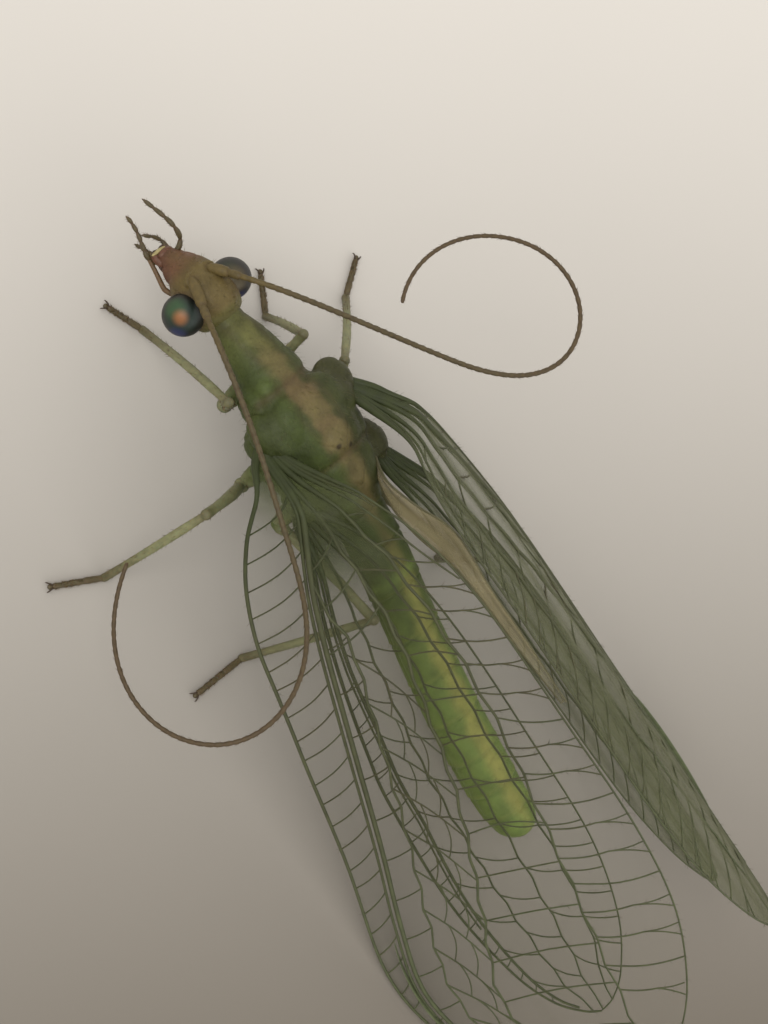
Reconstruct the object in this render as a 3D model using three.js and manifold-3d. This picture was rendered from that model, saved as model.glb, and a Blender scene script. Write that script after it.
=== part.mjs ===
// Green lacewing at rest, life size, in millimetres.
// +X is the insect's left, -Y the way it faces, +Z up, and it stands on z = 0.
import * as THREE from 'three';
import Module from 'manifold-3d';

const wasm = await Module();
wasm.setup();

// Driving sizes
const FINE_GAP = 0.1;
const EYE_RADIUS = 0.325;
const SCAPE_RADIUS = 0.15;
const FEELER_ROOT_RADIUS = 0.15;
const FEELER_RADIUS = 0.23;
const FEELER_TIP_RADIUS = 0.15;
const COXA_RADIUS = 0.22;
const FEMUR_RADIUS = 0.23;
const TIBIA_RADIUS = 0.21;
const TARSUS_RADIUS = 0.18;
const TOE_RADIUS = 0.14;
const FOOT_SINK = 0.04;
const CORNER_ANGLE = 0.35;
const CORNER_LENGTH = 0.04;
const WING_THICKNESS = 0.4;
const VEIN_HEIGHT = 0.08;
const VEIN_HALF_WIDTH = 0.035;
const CROSSVEIN_HEIGHT = 0.05;
const FOREWING_LIFT = 0.12;
const HINDWING_LIFT = -0.49;
const WING_CAMBER = 0.3;
const ROOF_WIDTH = 4.85;
const ROOF_PITCH = 47;
const ROOF_HALF_GAP = 0.13;

const looks = {
  thorax: { color: 0x5d7f33, roughness: 0.5, metalness: 0 },
  abdomen: { color: 0x6f9a35, roughness: 0.5, metalness: 0 },
  head: { color: 0x9a8a4c, roughness: 0.45, metalness: 0 },
  mouth: { color: 0x7a4530, roughness: 0.45, metalness: 0 },
  eye: { color: 0x1d3b33, roughness: 0.15, metalness: 0.4 },
  feeler: { color: 0x8a6a4a, roughness: 0.55, metalness: 0 },
  leg: { color: 0x7d8a52, roughness: 0.5, metalness: 0 },
  wing: { color: 0xa9b892, roughness: 0.25, metalness: 0 },
};

const SIDES = [
  ['left', 1],
  ['right', -1],
];

const insect = new THREE.Group();

function vec(x, y, z) {
  return new THREE.Vector3(x, y, z);
}

function onSide(point, side) {
  return vec(point.x * side, point.y, point.z);
}

function smooth(t) {
  return THREE.MathUtils.smoothstep(t, 0, 1);
}

// Closed meshes
function meshFrom(points, triangles) {
  const geometry = new THREE.BufferGeometry();
  const numbers = points.flatMap((p) => [p.x, p.y, p.z]);
  geometry.setAttribute('position', new THREE.Float32BufferAttribute(numbers, 3));
  geometry.setIndex(triangles.flat());
  return facingOut(geometry);
}

function volumeOf(geometry) {
  const position = geometry.getAttribute('position');
  const index = geometry.getIndex();
  const corner = (i) => vec().fromBufferAttribute(position, index.getX(i));
  let sum = 0;
  for (let i = 0; i < index.count; i += 3) {
    sum += corner(i).dot(corner(i + 1).cross(corner(i + 2)));
  }
  return sum / 6;
}

function facingOut(geometry) {
  if (volumeOf(geometry) < 0) {
    geometry.setIndex(Array.from(geometry.getIndex().array).reverse());
  }
  return geometry;
}

function centreOf(points) {
  return points.reduce((sum, p) => sum.add(p), vec(0, 0, 0)).divideScalar(points.length);
}

// A tube through rings of points, closed by a fan to a cap point at each end.
function tubeFrom(rings, caps = [centreOf(rings[0]), centreOf(rings.at(-1))]) {
  const sides = rings[0].length;
  const first = rings.length * sides;
  const last = first - sides;
  const triangles = [];
  for (let k = 0; k < sides; k += 1) {
    const next = (k + 1) % sides;
    for (let i = 0; i + 1 < rings.length; i += 1) {
      const a = i * sides + k;
      const b = i * sides + next;
      triangles.push([a, b, b + sides], [a, b + sides, a + sides]);
    }
    triangles.push([next, k, first], [last + k, last + next, first + 1]);
  }
  return meshFrom([...rings.flat(), ...caps], triangles);
}

function around(sides, place) {
  return Array.from({ length: sides }, (_, k) => place((2 * Math.PI * (k + 0.5)) / sides));
}

// An ellipsoid with its own half size along each axis.
function ellipsoid(centre, size, sides = 10, rows = 6) {
  const rings = [];
  for (let i = 1; i < rows; i += 1) {
    const polar = (Math.PI * i) / rows;
    const out = Math.sin(polar);
    const y = centre.y - size.y * Math.cos(polar);
    rings.push(
      around(sides, (turn) =>
        vec(centre.x + size.x * out * Math.cos(turn), y, centre.z + size.z * out * Math.sin(turn)),
      ),
    );
  }
  const pole = (way) => vec(centre.x, centre.y + way * size.y, centre.z);
  return tubeFrom(rings, [pole(-1), pole(1)]);
}

// A body tube with domed ends. Each station gives y, half width, top, bottom and, off the middle, x.
function bodyTube(stations, { rings = 7, sides = 16, dome = 0.06, pinch = () => 0 } = {}) {
  const spline = (place) => new THREE.CatmullRomCurve3(stations.map(place));
  const centres = spline((s) => vec(s.x ?? 0, s.y, (s.top + s.bottom) / 2));
  const sizes = spline((s) => vec(s.half, (s.top - s.bottom) / 2, s.y));
  const section = (t, share, shift) => {
    const centre = centres.getPoint(t);
    const size = sizes.getPoint(t);
    const scale = share * (1 - pinch(centre.y));
    return around(sides, (turn) =>
      vec(
        centre.x + scale * size.x * Math.cos(turn),
        centre.y + shift,
        centre.z + scale * size.y * Math.sin(turn),
      ),
    );
  };
  const domed = (t, way) => [section(t, 0.5, way * dome), section(t, 0.86, way * dome * 0.6)];
  const rows = domed(0, -1);
  for (let i = 0; i <= rings; i += 1) {
    rows.push(section(i / rings, 1, 0));
  }
  rows.push(...domed(1, 1).reverse());
  return tubeFrom(rows);
}

// A round tube along a curve, with radii spread evenly from its start to its end.
function sweep(curve, radii, { sides = 8, rings = 6 } = {}) {
  const frames = curve.computeFrenetFrames(rings, false);
  const sizes = new THREE.SplineCurve(radii.map((r, i) => new THREE.Vector2(i, r)));
  const rows = [];
  for (let i = 0; i <= rings; i += 1) {
    const centre = curve.getPointAt(i / rings);
    const radius = radii.length > 1 ? sizes.getPoint(i / rings).y : radii[0];
    rows.push(
      around(sides, (turn) =>
        centre
          .clone()
          .addScaledVector(frames.normals[i], radius * Math.cos(turn))
          .addScaledVector(frames.binormals[i], radius * Math.sin(turn)),
      ),
    );
  }
  return tubeFrom(rows);
}

// A round tube along straight runs, with its own radius at each point and a rounded bend at each corner.
function bentTube(points, radii, sides = 8) {
  const stops = [];
  points.forEach((point, i) => {
    const radius = radii[i];
    const [before, after] = [points[i - 1] ?? point, points[i + 1] ?? point];
    const arrive = point.clone().sub(before).normalize();
    const leave = after.clone().sub(point).normalize();
    const turn = arrive.angleTo(leave);
    if (i === 0 || i === points.length - 1 || turn < CORNER_ANGLE) {
      stops.push({ at: point, facing: arrive.clone().add(leave), radius });
      return;
    }
    const reach = radius * Math.tan(turn / 2) + CORNER_LENGTH;
    const start = point.clone().addScaledVector(arrive, -reach);
    const end = point.clone().addScaledVector(leave, reach);
    const middle = start.clone().add(end).lerp(point.clone().multiplyScalar(2), 0.5).multiplyScalar(0.5);
    stops.push({ at: start, facing: arrive, radius });
    stops.push({ at: middle, facing: arrive.clone().add(leave), radius });
    stops.push({ at: end, facing: leave, radius });
  });
  let side = vec(0.3, 0.2, 0.93);
  const rings = stops.map(({ at, facing, radius }) => {
    const forward = facing.clone().normalize();
    side = side.clone().addScaledVector(forward, -side.dot(forward)).normalize();
    const other = forward.clone().cross(side);
    return around(sides, (turn) =>
      at
        .clone()
        .addScaledVector(side, radius * Math.cos(turn))
        .addScaledVector(other, radius * Math.sin(turn)),
    );
  });
  return tubeFrom(rings);
}

// Joins and cuts
function solid(geometry) {
  return new wasm.Manifold(
    new wasm.Mesh({
      numProp: 3,
      vertProperties: new Float32Array(geometry.getAttribute('position').array),
      triVerts: new Uint32Array(geometry.getIndex().array),
    }),
  );
}

function joined(geometries) {
  return geometries.map(solid).reduce((sum, piece) => sum.add(piece));
}

function geometryOf(manifold) {
  const largest = manifold.decompose().sort((a, b) => b.volume() - a.volume())[0];
  const mesh = largest.getMesh();
  const geometry = new THREE.BufferGeometry();
  geometry.setAttribute('position', new THREE.Float32BufferAttribute(mesh.vertProperties, 3));
  geometry.setIndex(Array.from(mesh.triVerts));
  return geometry;
}

function addNode(name, geometry, look) {
  geometry.computeVertexNormals();
  const mesh = new THREE.Mesh(geometry, new THREE.MeshStandardMaterial(look));
  mesh.name = name;
  insect.add(mesh);
}

// The space below the floor, which trims what stands on it to small flats.
function belowFloor() {
  const reach = 30;
  const corner = (x, y, z) => vec(x * reach, y * reach, z);
  const ring = (z) => [corner(-1, -1, z), corner(1, -1, z), corner(1, 1, z), corner(-1, 1, z)];
  return solid(tubeFrom([ring(-1), ring(0)]));
}

const floorSpace = belowFloor();

// Head: a capsule whose brow runs level past the eyes and drops steeply to the mouth. The face is
// turned a little to the insect's right.
const eyeCentre = vec(0.5, -2.6, 1.95);
const feelerRoot = vec(0.24, -3.0, 2.5);
const scapeBow = vec(0, -0.06, -0.04);

function headSolid() {
  const capsule = bodyTube(
    [
      { y: -2.22, half: 0.33, top: 2.27, bottom: 1.7 },
      { y: -2.4, half: 0.46, top: 2.36, bottom: 1.58 },
      { y: -2.62, half: 0.5, top: 2.38, bottom: 1.5 },
      { y: -2.84, half: 0.45, top: 2.32, bottom: 1.47 },
      { x: -0.04, y: -3.02, half: 0.37, top: 2.23, bottom: 1.48 },
      { x: -0.08, y: -3.17, half: 0.28, top: 2.09, bottom: 1.46 },
      { x: -0.07, y: -3.32, half: 0.2, top: 1.86, bottom: 1.42 },
    ],
    { rings: 10, sides: 18 },
  );
  const cheeks = SIDES.map(([, side]) =>
    ellipsoid(vec(0.15 * side - 0.06, -3.1, 1.62), vec(0.15, 0.24, 0.16), 8, 5),
  );
  const socketRim = SIDES.map(([, side]) =>
    ellipsoid(vec(0.18 * side, -2.94, 2.16), vec(0.15, 0.15, 0.12), 8, 5),
  );
  const cup = vec(1, 1, 1).multiplyScalar(EYE_RADIUS + FINE_GAP);
  const cups = SIDES.map(([, side]) => solid(ellipsoid(onSide(eyeCentre, side), cup, 12, 8)));
  return cups.reduce((head, space) => head.subtract(space), joined([capsule, ...cheeks, ...socketRim]));
}

addNode('head', geometryOf(headSolid()), looks.head);
for (const [word, side] of SIDES) {
  const size = vec(1, 1, 1).multiplyScalar(EYE_RADIUS);
  addNode(`eye_${word}`, ellipsoid(onSide(eyeCentre, side), size, 16, 10), looks.eye);
}

// Mouth: upper lip, jaws and lower lip in one piece, with a pair of palps at each side
function mouthSolid() {
  const y = -3.54;
  const upperLip = ellipsoid(vec(-0.02, y, 1.64), vec(0.16, 0.08, 0.09), 8, 5);
  const jaws = SIDES.map(([, side]) =>
    ellipsoid(vec(0.08 * side, y - 0.01, 1.52), vec(0.09, 0.09, 0.11), 8, 5),
  );
  const lowerLip = ellipsoid(vec(0, y, 1.4), vec(0.14, 0.08, 0.09), 8, 5);
  return joined([upperLip, ...jaws, lowerLip]);
}

addNode('mouthparts', geometryOf(mouthSolid()), looks.mouth);

const palps = {
  maxillary_left: [vec(0.37, -3.5, 1.52), vec(0.32, -3.82, 1.47), vec(0.16, -4.22, 1.44)],
  maxillary_right: [vec(-0.36, -3.46, 1.74), vec(-0.39, -3.8, 1.78), vec(-0.26, -4.3, 1.6)],
  labial_left: [vec(0.08, -3.75, 1.36), vec(0.09, -3.87, 1.21), vec(0.11, -3.96, 1.05)],
  labial_right: [vec(-0.15, -3.75, 1.42), vec(-0.15, -3.89, 1.29), vec(-0.14, -3.99, 1.14)],
};
for (const [name, points] of Object.entries(palps)) {
  const palp = sweep(new THREE.CatmullRomCurve3(points), [0.09, 0.09, 0.07], { sides: 7, rings: 7 });
  addNode(`palp_${name}`, palp, looks.mouth);
}

// Thorax: three rings with the lumps that carry the wings
function thoraxSolid(stations, lumps, detail) {
  const bumps = lumps.flatMap(({ centre, size }) =>
    (centre.x === 0 ? [1] : [1, -1]).map((side) => ellipsoid(onSide(centre, side), size)),
  );
  return joined([bodyTube(stations, detail), ...bumps]);
}

const prothorax = thoraxSolid(
  [
    { y: -2.0, half: 0.32, top: 2.34, bottom: 1.74 },
    { y: -1.75, half: 0.4, top: 2.45, bottom: 1.75 },
    { y: -1.45, half: 0.45, top: 2.53, bottom: 1.75 },
    { y: -1.2, half: 0.52, top: 2.62, bottom: 1.74 },
    { y: -1.02, half: 0.53, top: 2.64, bottom: 1.78 },
  ],
  [],
);
const mesothorax = thoraxSolid(
  [
    { y: -0.8, half: 0.55, top: 2.7, bottom: 1.5 },
    { y: -0.55, half: 0.7, top: 2.84, bottom: 1.25 },
    { y: -0.1, half: 0.8, top: 2.9, bottom: 1.12 },
    { y: 0.3, half: 0.78, top: 2.86, bottom: 1.14 },
  ],
  [
    { centre: vec(0.84, -0.45, 2.36), size: vec(0.34, 0.38, 0.32) },
    { centre: vec(0.3, -0.35, 2.7), size: vec(0.28, 0.3, 0.2) },
    { centre: vec(0, 0.16, 2.78), size: vec(0.24, 0.22, 0.18) },
  ],
);
const metathorax = thoraxSolid(
  [
    { y: 0.54, half: 0.76, top: 2.78, bottom: 1.16 },
    { y: 0.85, half: 0.72, top: 2.7, bottom: 1.18 },
    { y: 1.18, half: 0.58, top: 2.56, bottom: 1.34 },
  ],
  [
    { centre: vec(0.84, 0.82, 2.06), size: vec(0.34, 0.29, 0.28) },
    { centre: vec(0, 0.78, 2.62), size: vec(0.2, 0.22, 0.18) },
  ],
);
addNode('prothorax', geometryOf(prothorax), looks.thorax);
addNode('mesothorax', geometryOf(mesothorax), looks.thorax);
addNode('metathorax', geometryOf(metathorax), looks.thorax);

// Abdomen: a long drooping tube with a shallow pinch at each ring
const abdomen = { front: 1.5, back: 7.55, rings: 8, pinchDepth: 0.06, pinchHalfWidth: 0.1 };

function abdomenPinch(y) {
  const pitch = (abdomen.back - abdomen.front) / abdomen.rings;
  const offset = Math.abs((((y - abdomen.front) / pitch) % 1) - 0.5);
  const distance = (0.5 - offset) * pitch;
  const inside = y > abdomen.front + pitch / 2 && y < abdomen.back - pitch / 2;
  return inside ? abdomen.pinchDepth * (1 - smooth(distance / abdomen.pinchHalfWidth)) : 0;
}

addNode(
  'abdomen',
  bodyTube(
    [
      { y: abdomen.front, half: 0.46, top: 2.44, bottom: 1.58 },
      { y: 2.4, half: 0.47, top: 2.2, bottom: 1.3 },
      { x: 0.04, y: 3.6, half: 0.46, top: 1.82, bottom: 0.93 },
      { x: 0.16, y: 5.25, half: 0.47, top: 1.49, bottom: 0.58 },
      { x: 0.27, y: 6.9, half: 0.46, top: 1.37, bottom: 0.48 },
      { x: 0.32, y: abdomen.back, half: 0.38, top: 1.34, bottom: 0.58 },
    ],
    { rings: 40, sides: 14, dome: 0.16, pinch: abdomenPinch },
  ),
  looks.abdomen,
);

// Legs: hip, thigh, shin and foot fused at their joints, with the foot flat on the floor
const legs = {
  front: {
    hip: vec(0.3, -1.14, 1.5),
    thigh: vec(0.48, -0.95, 1.05),
    left: { knee: vec(0.92, -1.23, 2.34), ankle: vec(0.3, -2.58, 0), toe: vec(0.6, -3.27, 0) },
    right: { knee: vec(-0.95, -1.25, 2.02), ankle: vec(-1.65, -1.52, 0), toe: vec(-2.07, -2.2, 0) },
  },
  middle: {
    hip: vec(0.64, 0.08, 1.24),
    thigh: vec(0.84, 0.15, 1.0),
    left: { knee: vec(2.02, -0.04, 1.8), ankle: vec(3.25, 0.06, 0), toe: vec(4.09, -0.4, 0) },
    right: { knee: vec(-1.45, -0.47, 1.75), ankle: vec(-3.1, -0.93, 0), toe: vec(-3.76, -1.37, 0) },
  },
  hind: {
    hip: vec(0.54, 0.85, 1.27),
    thigh: vec(0.77, 0.98, 1.03),
    left: { knee: vec(0.9, 2.86, 2.1), ankle: vec(2.2, 2.49, 0), toe: vec(3.26, 2.43, 0) },
    right: { knee: vec(-0.9, 2.86, 2.1), ankle: vec(-1.75, 3.5, 0), toe: vec(-2.45, 4.1, 0) },
  },
};

// Where the foot's joints lie, as shares of its length from the ankle.
const FOOT_JOINTS = [0.45, 0.6, 0.74, 0.87, 1];
const FOOT_NECK = 0.06;
const FOOT_NECK_SHARE = 0.86;
const JOINT_SHARE = 1.12;

function legSolid(hip, thigh, { knee, ankle, toe }) {
  const heel = ankle.clone().setZ(TARSUS_RADIUS - FOOT_SINK);
  const tip = toe.clone().setZ(TOE_RADIUS - FOOT_SINK);
  const ring = (from, to, share, radius) => [from.clone().lerp(to, share), radius];
  const stops = [
    [thigh, FEMUR_RADIUS],
    ring(thigh, knee, 0.5, FEMUR_RADIUS),
    [knee, FEMUR_RADIUS],
    ring(knee, heel, 0.5, TIBIA_RADIUS),
    [heel, TARSUS_RADIUS],
  ];
  for (const share of FOOT_JOINTS) {
    const radius = THREE.MathUtils.lerp(TARSUS_RADIUS, TOE_RADIUS, share);
    stops.push(ring(heel, tip, share - FOOT_NECK, radius * FOOT_NECK_SHARE));
    stops.push(ring(heel, tip, share, radius));
  }
  const limb = bentTube(
    stops.map(([point]) => point),
    stops.map(([, radius]) => radius),
  );
  const coxa = bentTube([hip, thigh], [COXA_RADIUS, COXA_RADIUS]);
  const joint = ellipsoid(thigh, vec(1, 1, 1).multiplyScalar(FEMUR_RADIUS * JOINT_SHARE), 10, 6);
  return joined([limb, coxa, joint]).subtract(floorSpace);
}

for (const [pair, leg] of Object.entries(legs)) {
  for (const [word, side] of SIDES) {
    addNode(
      `leg_${pair}_${word}`,
      geometryOf(legSolid(onSide(leg.hip, side), onSide(leg.thigh, side), leg[word])),
      looks.leg,
    );
  }
}

// Feelers: a short thick scape, then a long whip that runs back and curls into a loop.
// The whip's path lies in the plane of across and the third direction square to it and to up, and is
// lifted along up. Its turning, in radians for each millimetre, changes at each share of its length.
const WHIP_STEPS = 120;
const turningShares = [0, 0.2, 0.35, 0.45, 0.55, 0.65, 0.8, 1];
const feelers = {
  left: {
    root: vec(0.149, -2.816, 2.047),
    across: vec(-0.66, 0.55, 0.511),
    up: vec(0.456, -0.247, 0.855),
    heading: 66.3,
    turning: [0, 0.066, -0.021, 0.338, 0.606, 0.816, 0.636, 0.301],
    length: 11.32,
    lift: { root: 0.68, raised: 0.9, raisedBy: 1, from: 3.6, to: 7.3, end: 0.27 },
  },
  right: {
    root: vec(-0.44, -2.731, 2.077),
    across: vec(-0.979, -0.033, 0.2),
    up: vec(0.202, -0.16, 0.966),
    heading: 51.3,
    turning: [0.127, 0.017, -0.026, -0.462, -1.111, -0.943, -0.526, -0.846],
    length: 10.51,
    lift: { root: 0.72, raised: 0.72, raisedBy: 1, from: 1.2, to: 4, end: 0 },
  },
};

function betweenShares(values, share) {
  const next = Math.max(1, turningShares.findIndex((limit) => limit >= share));
  const [from, to] = [turningShares[next - 1], turningShares[next]];
  return THREE.MathUtils.mapLinear(share, from, to, values[next - 1], values[next]);
}

function whipPath({ root, across, up, heading, turning, length, lift }) {
  const step = length / WHIP_STEPS;
  const along = across.clone().cross(up).normalize();
  const lifted = (s) => {
    const rise = lift.root + (lift.raised - lift.root) * smooth(s / lift.raisedBy);
    return rise + (lift.end - lift.raised) * smooth((s - lift.from) / (lift.to - lift.from));
  };
  const points = [];
  const flat = root.clone();
  let angle = THREE.MathUtils.degToRad(heading);
  for (let i = 0; i <= WHIP_STEPS; i += 1) {
    const s = i * step;
    points.push(flat.clone().addScaledVector(up, lifted(s)));
    angle += betweenShares(turning, i / WHIP_STEPS) * step;
    flat.addScaledVector(across, Math.cos(angle) * step).addScaledVector(along, Math.sin(angle) * step);
  }
  return points;
}

function addFeeler(word, side) {
  const path = whipPath(feelers[word]);
  const root = onSide(feelerRoot, side);
  const heading = path[1].clone().sub(path[0]).normalize();
  const scapeEnd = path[0].clone().addScaledVector(heading, -(SCAPE_RADIUS + 2 * FINE_GAP));
  const bendPoint = root.clone().lerp(scapeEnd, 0.5).add(scapeBow);
  const scape = new THREE.QuadraticBezierCurve3(root, bendPoint, scapeEnd);
  addNode(`antenna_${word}_scape`, sweep(scape, [SCAPE_RADIUS], { rings: 5 }), looks.feeler);
  const lengths = ['base', 'middle', 'tip'];
  const share = (path.length - 1) / lengths.length;
  lengths.forEach((part, i) => {
    const from = Math.round(i * share) + (i ? 1 : 0);
    const to = Math.round((i + 1) * share);
    const curve = new THREE.CatmullRomCurve3(path.slice(from, to + 1));
    const radiusAt = (n) => THREE.MathUtils.lerp(FEELER_RADIUS, FEELER_TIP_RADIUS, n / (path.length - 1));
    const radii = [i ? radiusAt(from) : FEELER_ROOT_RADIUS, radiusAt(from), radiusAt(to), radiusAt(to)];
    const rings = part === 'base' ? 11 : 16;
    addNode(`antenna_${word}_${part}`, sweep(curve, radii, { rings }), looks.feeler);
  });
}

SIDES.forEach(([word, side]) => addFeeler(word, side));

// Wings: plates on two pitched roof planes that meet over the back
// The crest is lowest where the wings leave the thorax.
const roof = { foot: 3.4, crest: 3.62, from: 1.2, to: 3.8 };

function roofPoint(y, w, lift) {
  const pitch = THREE.MathUtils.degToRad(ROOF_PITCH);
  const crest = roof.foot + (roof.crest - roof.foot) * smooth((y - roof.from) / (roof.to - roof.from));
  const share = THREE.MathUtils.clamp(w / ROOF_WIDTH, 0, 1);
  const out = (lift + WING_CAMBER * 4 * share * (1 - share)) / Math.cos(pitch);
  return vec(ROOF_HALF_GAP + w * Math.cos(pitch), y, crest - w * Math.sin(pitch) + out);
}

// Each outline point gives y and the distance down the roof from the crest.
const forewing = {
  lift: FOREWING_LIFT,
  columns: 24,
  hind: [
    [0.1, 1.02], [0.9, 0.66], [1.8, 0.26], [3, 0.1], [5.5, 0.08],
    [7.5, 0.1], [9, 0.35], [10.2, 0.9], [11, 1.5], [11.3, 1.95],
  ],
  front: [
    [0, 1.6], [0.25, 2.1], [0.9, 2.7], [1.8, 3.17], [2.9, 3.6], [4.1, 3.88],
    [6, 4.35], [8, 4.88], [9.3, 4.85], [10.3, 4.35], [11, 3.4], [11.35, 2.4],
  ],
  veins: [[0.12, 0.22], [0.36, 0.46], [0.62, 0.84]],
};
const hindwing = {
  lift: HINDWING_LIFT,
  columns: 20,
  hind: [
    [1.3, 0.62], [1.9, 0.48], [2.6, 0.34], [4, 0.3], [5.5, 0.34],
    [7.5, 0.45], [8.9, 0.85], [9.9, 1.5], [10.25, 2],
  ],
  front: [
    [1.3, 1], [1.9, 0.76], [2.5, 0.62], [3.2, 0.62], [3.65, 0.95], [4.05, 1.9],
    [4.6, 2.7], [5.5, 3.05], [7.5, 3.2], [9, 3.05], [9.9, 2.65], [10.3, 2.25],
  ],
  veins: [[0.3, 0.36], [0.64, 0.8]],
};

// Shares of the wing's width at which its rows of points lie: three for each vein and one in each cell.
function wingRows(veins, t) {
  const rows = [0];
  for (const [base, tip] of veins) {
    const v = base + (tip - base) * t;
    rows.push((rows.at(-1) + v) / 2, v - VEIN_HALF_WIDTH, v, v + VEIN_HALF_WIDTH);
  }
  rows.push((rows.at(-1) + 1) / 2, 1);
  return rows;
}

// How far a row stands out: veins are every fourth row from the third, and the margins are veins too.
function veinHeight(row, column, lastRow) {
  const isVein = row % 4 === 3 || row === 0 || row === lastRow;
  const isCell = row % 4 === 1;
  if (isVein) {
    return VEIN_HEIGHT;
  }
  return isCell && column % 2 ? CROSSVEIN_HEIGHT : 0;
}

function wingSolid({ lift, columns, hind, front, veins }, side) {
  const outline = (pairs) => new THREE.SplineCurve(pairs.map(([y, w]) => new THREE.Vector2(y, w)));
  const hindCurve = outline(hind);
  const frontCurve = outline(front);
  const lastRow = wingRows(veins, 0).length - 1;
  const grid = (thickness, ridged) => {
    const points = [];
    for (let i = 0; i <= columns; i += 1) {
      const t = i / columns;
      const inner = hindCurve.getPointAt(t);
      const outer = frontCurve.getPointAt(t);
      wingRows(veins, t).forEach((v, row) => {
        const at = inner.clone().lerp(outer, v);
        const height = ridged ? veinHeight(row, i, lastRow) : 0;
        points.push(onSide(roofPoint(at.x, at.y, lift + thickness + height), side));
      });
    }
    return points;
  };
  const top = grid(WING_THICKNESS / 2, true);
  const under = grid(-WING_THICKNESS / 2, false);
  const stride = lastRow + 1;
  const at = (i, j) => i * stride + j;
  const triangles = [];
  for (let i = 0; i < columns; i += 1) {
    for (let j = 0; j < lastRow; j += 1) {
      const quad = [at(i, j), at(i + 1, j), at(i + 1, j + 1), at(i, j + 1)];
      const [a, b, c, d] = quad;
      const [e, f, g, h] = quad.map((n) => n + top.length);
      triangles.push([a, b, c], [a, c, d], [e, g, f], [e, h, g]);
    }
  }
  const rim = [];
  for (let i = 0; i < columns; i += 1) rim.push([at(i, 0), at(i + 1, 0)]);
  for (let j = 0; j < lastRow; j += 1) rim.push([at(columns, j), at(columns, j + 1)]);
  for (let i = columns; i > 0; i -= 1) rim.push([at(i, lastRow), at(i - 1, lastRow)]);
  for (let j = lastRow; j > 0; j -= 1) rim.push([at(0, j), at(0, j - 1)]);
  for (const [a, b] of rim) {
    triangles.push([b, a, a + top.length], [b, a + top.length, b + top.length]);
  }
  return solid(meshFrom([...top, ...under], triangles)).subtract(floorSpace);
}

for (const [word, side] of SIDES) {
  addNode(`forewing_${word}`, geometryOf(wingSolid(forewing, side)), looks.wing);
  addNode(`hindwing_${word}`, geometryOf(wingSolid(hindwing, side)), looks.wing);
}

// The origin is the middle of the footprint, at floor level.
const bounds = new THREE.Box3().setFromObject(insect);
const middle = bounds.getCenter(vec(0, 0, 0));
insect.children.forEach((mesh) => mesh.position.set(-middle.x, -middle.y, -bounds.min.z));
insect.updateMatrixWorld(true);

export default insect;
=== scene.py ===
# Green lacewing at rest, life size: skin, wings, feelers and fine parts over the fixed frame.
# Lengths are in millimetres until a piece is placed. +X is the insect's left, -Y the way it faces.
from itertools import combinations

import bpy
import numpy as np
from mathutils import Matrix, Vector


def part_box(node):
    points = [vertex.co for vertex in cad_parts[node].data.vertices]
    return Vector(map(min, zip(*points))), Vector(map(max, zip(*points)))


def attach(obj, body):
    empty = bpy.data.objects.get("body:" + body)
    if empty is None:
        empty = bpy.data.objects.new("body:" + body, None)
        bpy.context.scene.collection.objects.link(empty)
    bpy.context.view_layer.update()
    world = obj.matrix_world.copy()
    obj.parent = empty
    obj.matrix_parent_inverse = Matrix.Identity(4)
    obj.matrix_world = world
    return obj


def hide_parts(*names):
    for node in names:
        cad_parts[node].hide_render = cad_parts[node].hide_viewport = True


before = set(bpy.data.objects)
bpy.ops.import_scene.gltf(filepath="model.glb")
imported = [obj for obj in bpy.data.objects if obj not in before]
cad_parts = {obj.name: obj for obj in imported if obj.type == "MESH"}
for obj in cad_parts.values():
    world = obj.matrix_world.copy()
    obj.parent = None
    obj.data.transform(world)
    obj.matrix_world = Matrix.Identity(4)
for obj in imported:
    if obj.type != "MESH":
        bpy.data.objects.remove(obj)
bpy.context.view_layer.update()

# Driving sizes
MM = 0.001
EYE_RADIUS = 0.325
EYE_CENTRE = np.array([0.5, -2.6, 1.95])
FEELER_RADIUS = 0.045
FEELER_RING = 0.135
FEMUR_RADIUS = 0.095
TIBIA_RADIUS = 0.07
TARSUS_RADIUS = 0.055
MEMBRANE_THICKNESS = 0.012
WING_CAMBER = 0.3
ROOF_WIDTH = 4.85
WING_LENGTH = 11.6
ROOF_PITCH = 47
ROOF_HALF_GAP = 0.13
FOREWING_LIFT = 0.28
HINDWING_LIFT = -0.26
# The floor's colours: pale far off, with painted shade that darkens it towards the near side along the slope,
# between the two reaches.
FLOOR_PALE = (0.76, 0.72, 0.665)
FLOOR_PAINTED_SHADE = (0.14, 0.117, 0.088)
FLOOR_SLOPE = (-0.6, -0.8)
FLOOR_REACH = (-16.0, 13.0)
FLOOR_HAIR_REACH = 0.2
FLOOR_HALF_SIZE = 0.6
CAMERA_PLACE = (13.906, -6.012, 28.758)
BODY_VOXEL = 0.024
HEAD_VOXEL = 0.0135
LENS_GROOVE = 0.0035
SETA_WIDTHS = {"body": 0.0026, "head": 0.0035, "palp": 0.003, "feeler": 0.0026, "leg": 0.0042, "wing": 0.003}
# A hair's patch on the unwrap, and where the unwrap starts and how far it spreads
PATCH_SIZE = 0.003
UNWRAP_START = 0.02
UNWRAP_SPREAD = 0.95
# How far back each ring of a tube's rounded end lies and how wide it is, as shares of the radius
TUBE_END = ((0.55, 0.84), (0.92, 0.42))
SIDES = (("left", 1), ("right", -1))

random = np.random.default_rng(7)

# The frame's eye is where this script's eye is, which gives the shift between the two.
eye_low, eye_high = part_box("eye_left")
SHIFT = (np.array(eye_low) + np.array(eye_high)) / 2 / MM - EYE_CENTRE


def smooth(t):
    t = np.clip(t, 0, 1)
    return t * t * (3 - 2 * t)


def ramp(x, start, reach):
    """From 0 at the start to 1 a reach further on."""
    return smooth((x - start) / reach)


def fall(x, end, reach):
    """From 1 to 0 over the reach before the end."""
    return smooth((end - x) / reach)


def bell(x, centre, width):
    return np.exp(-(((x - centre) / width) ** 2))


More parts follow.
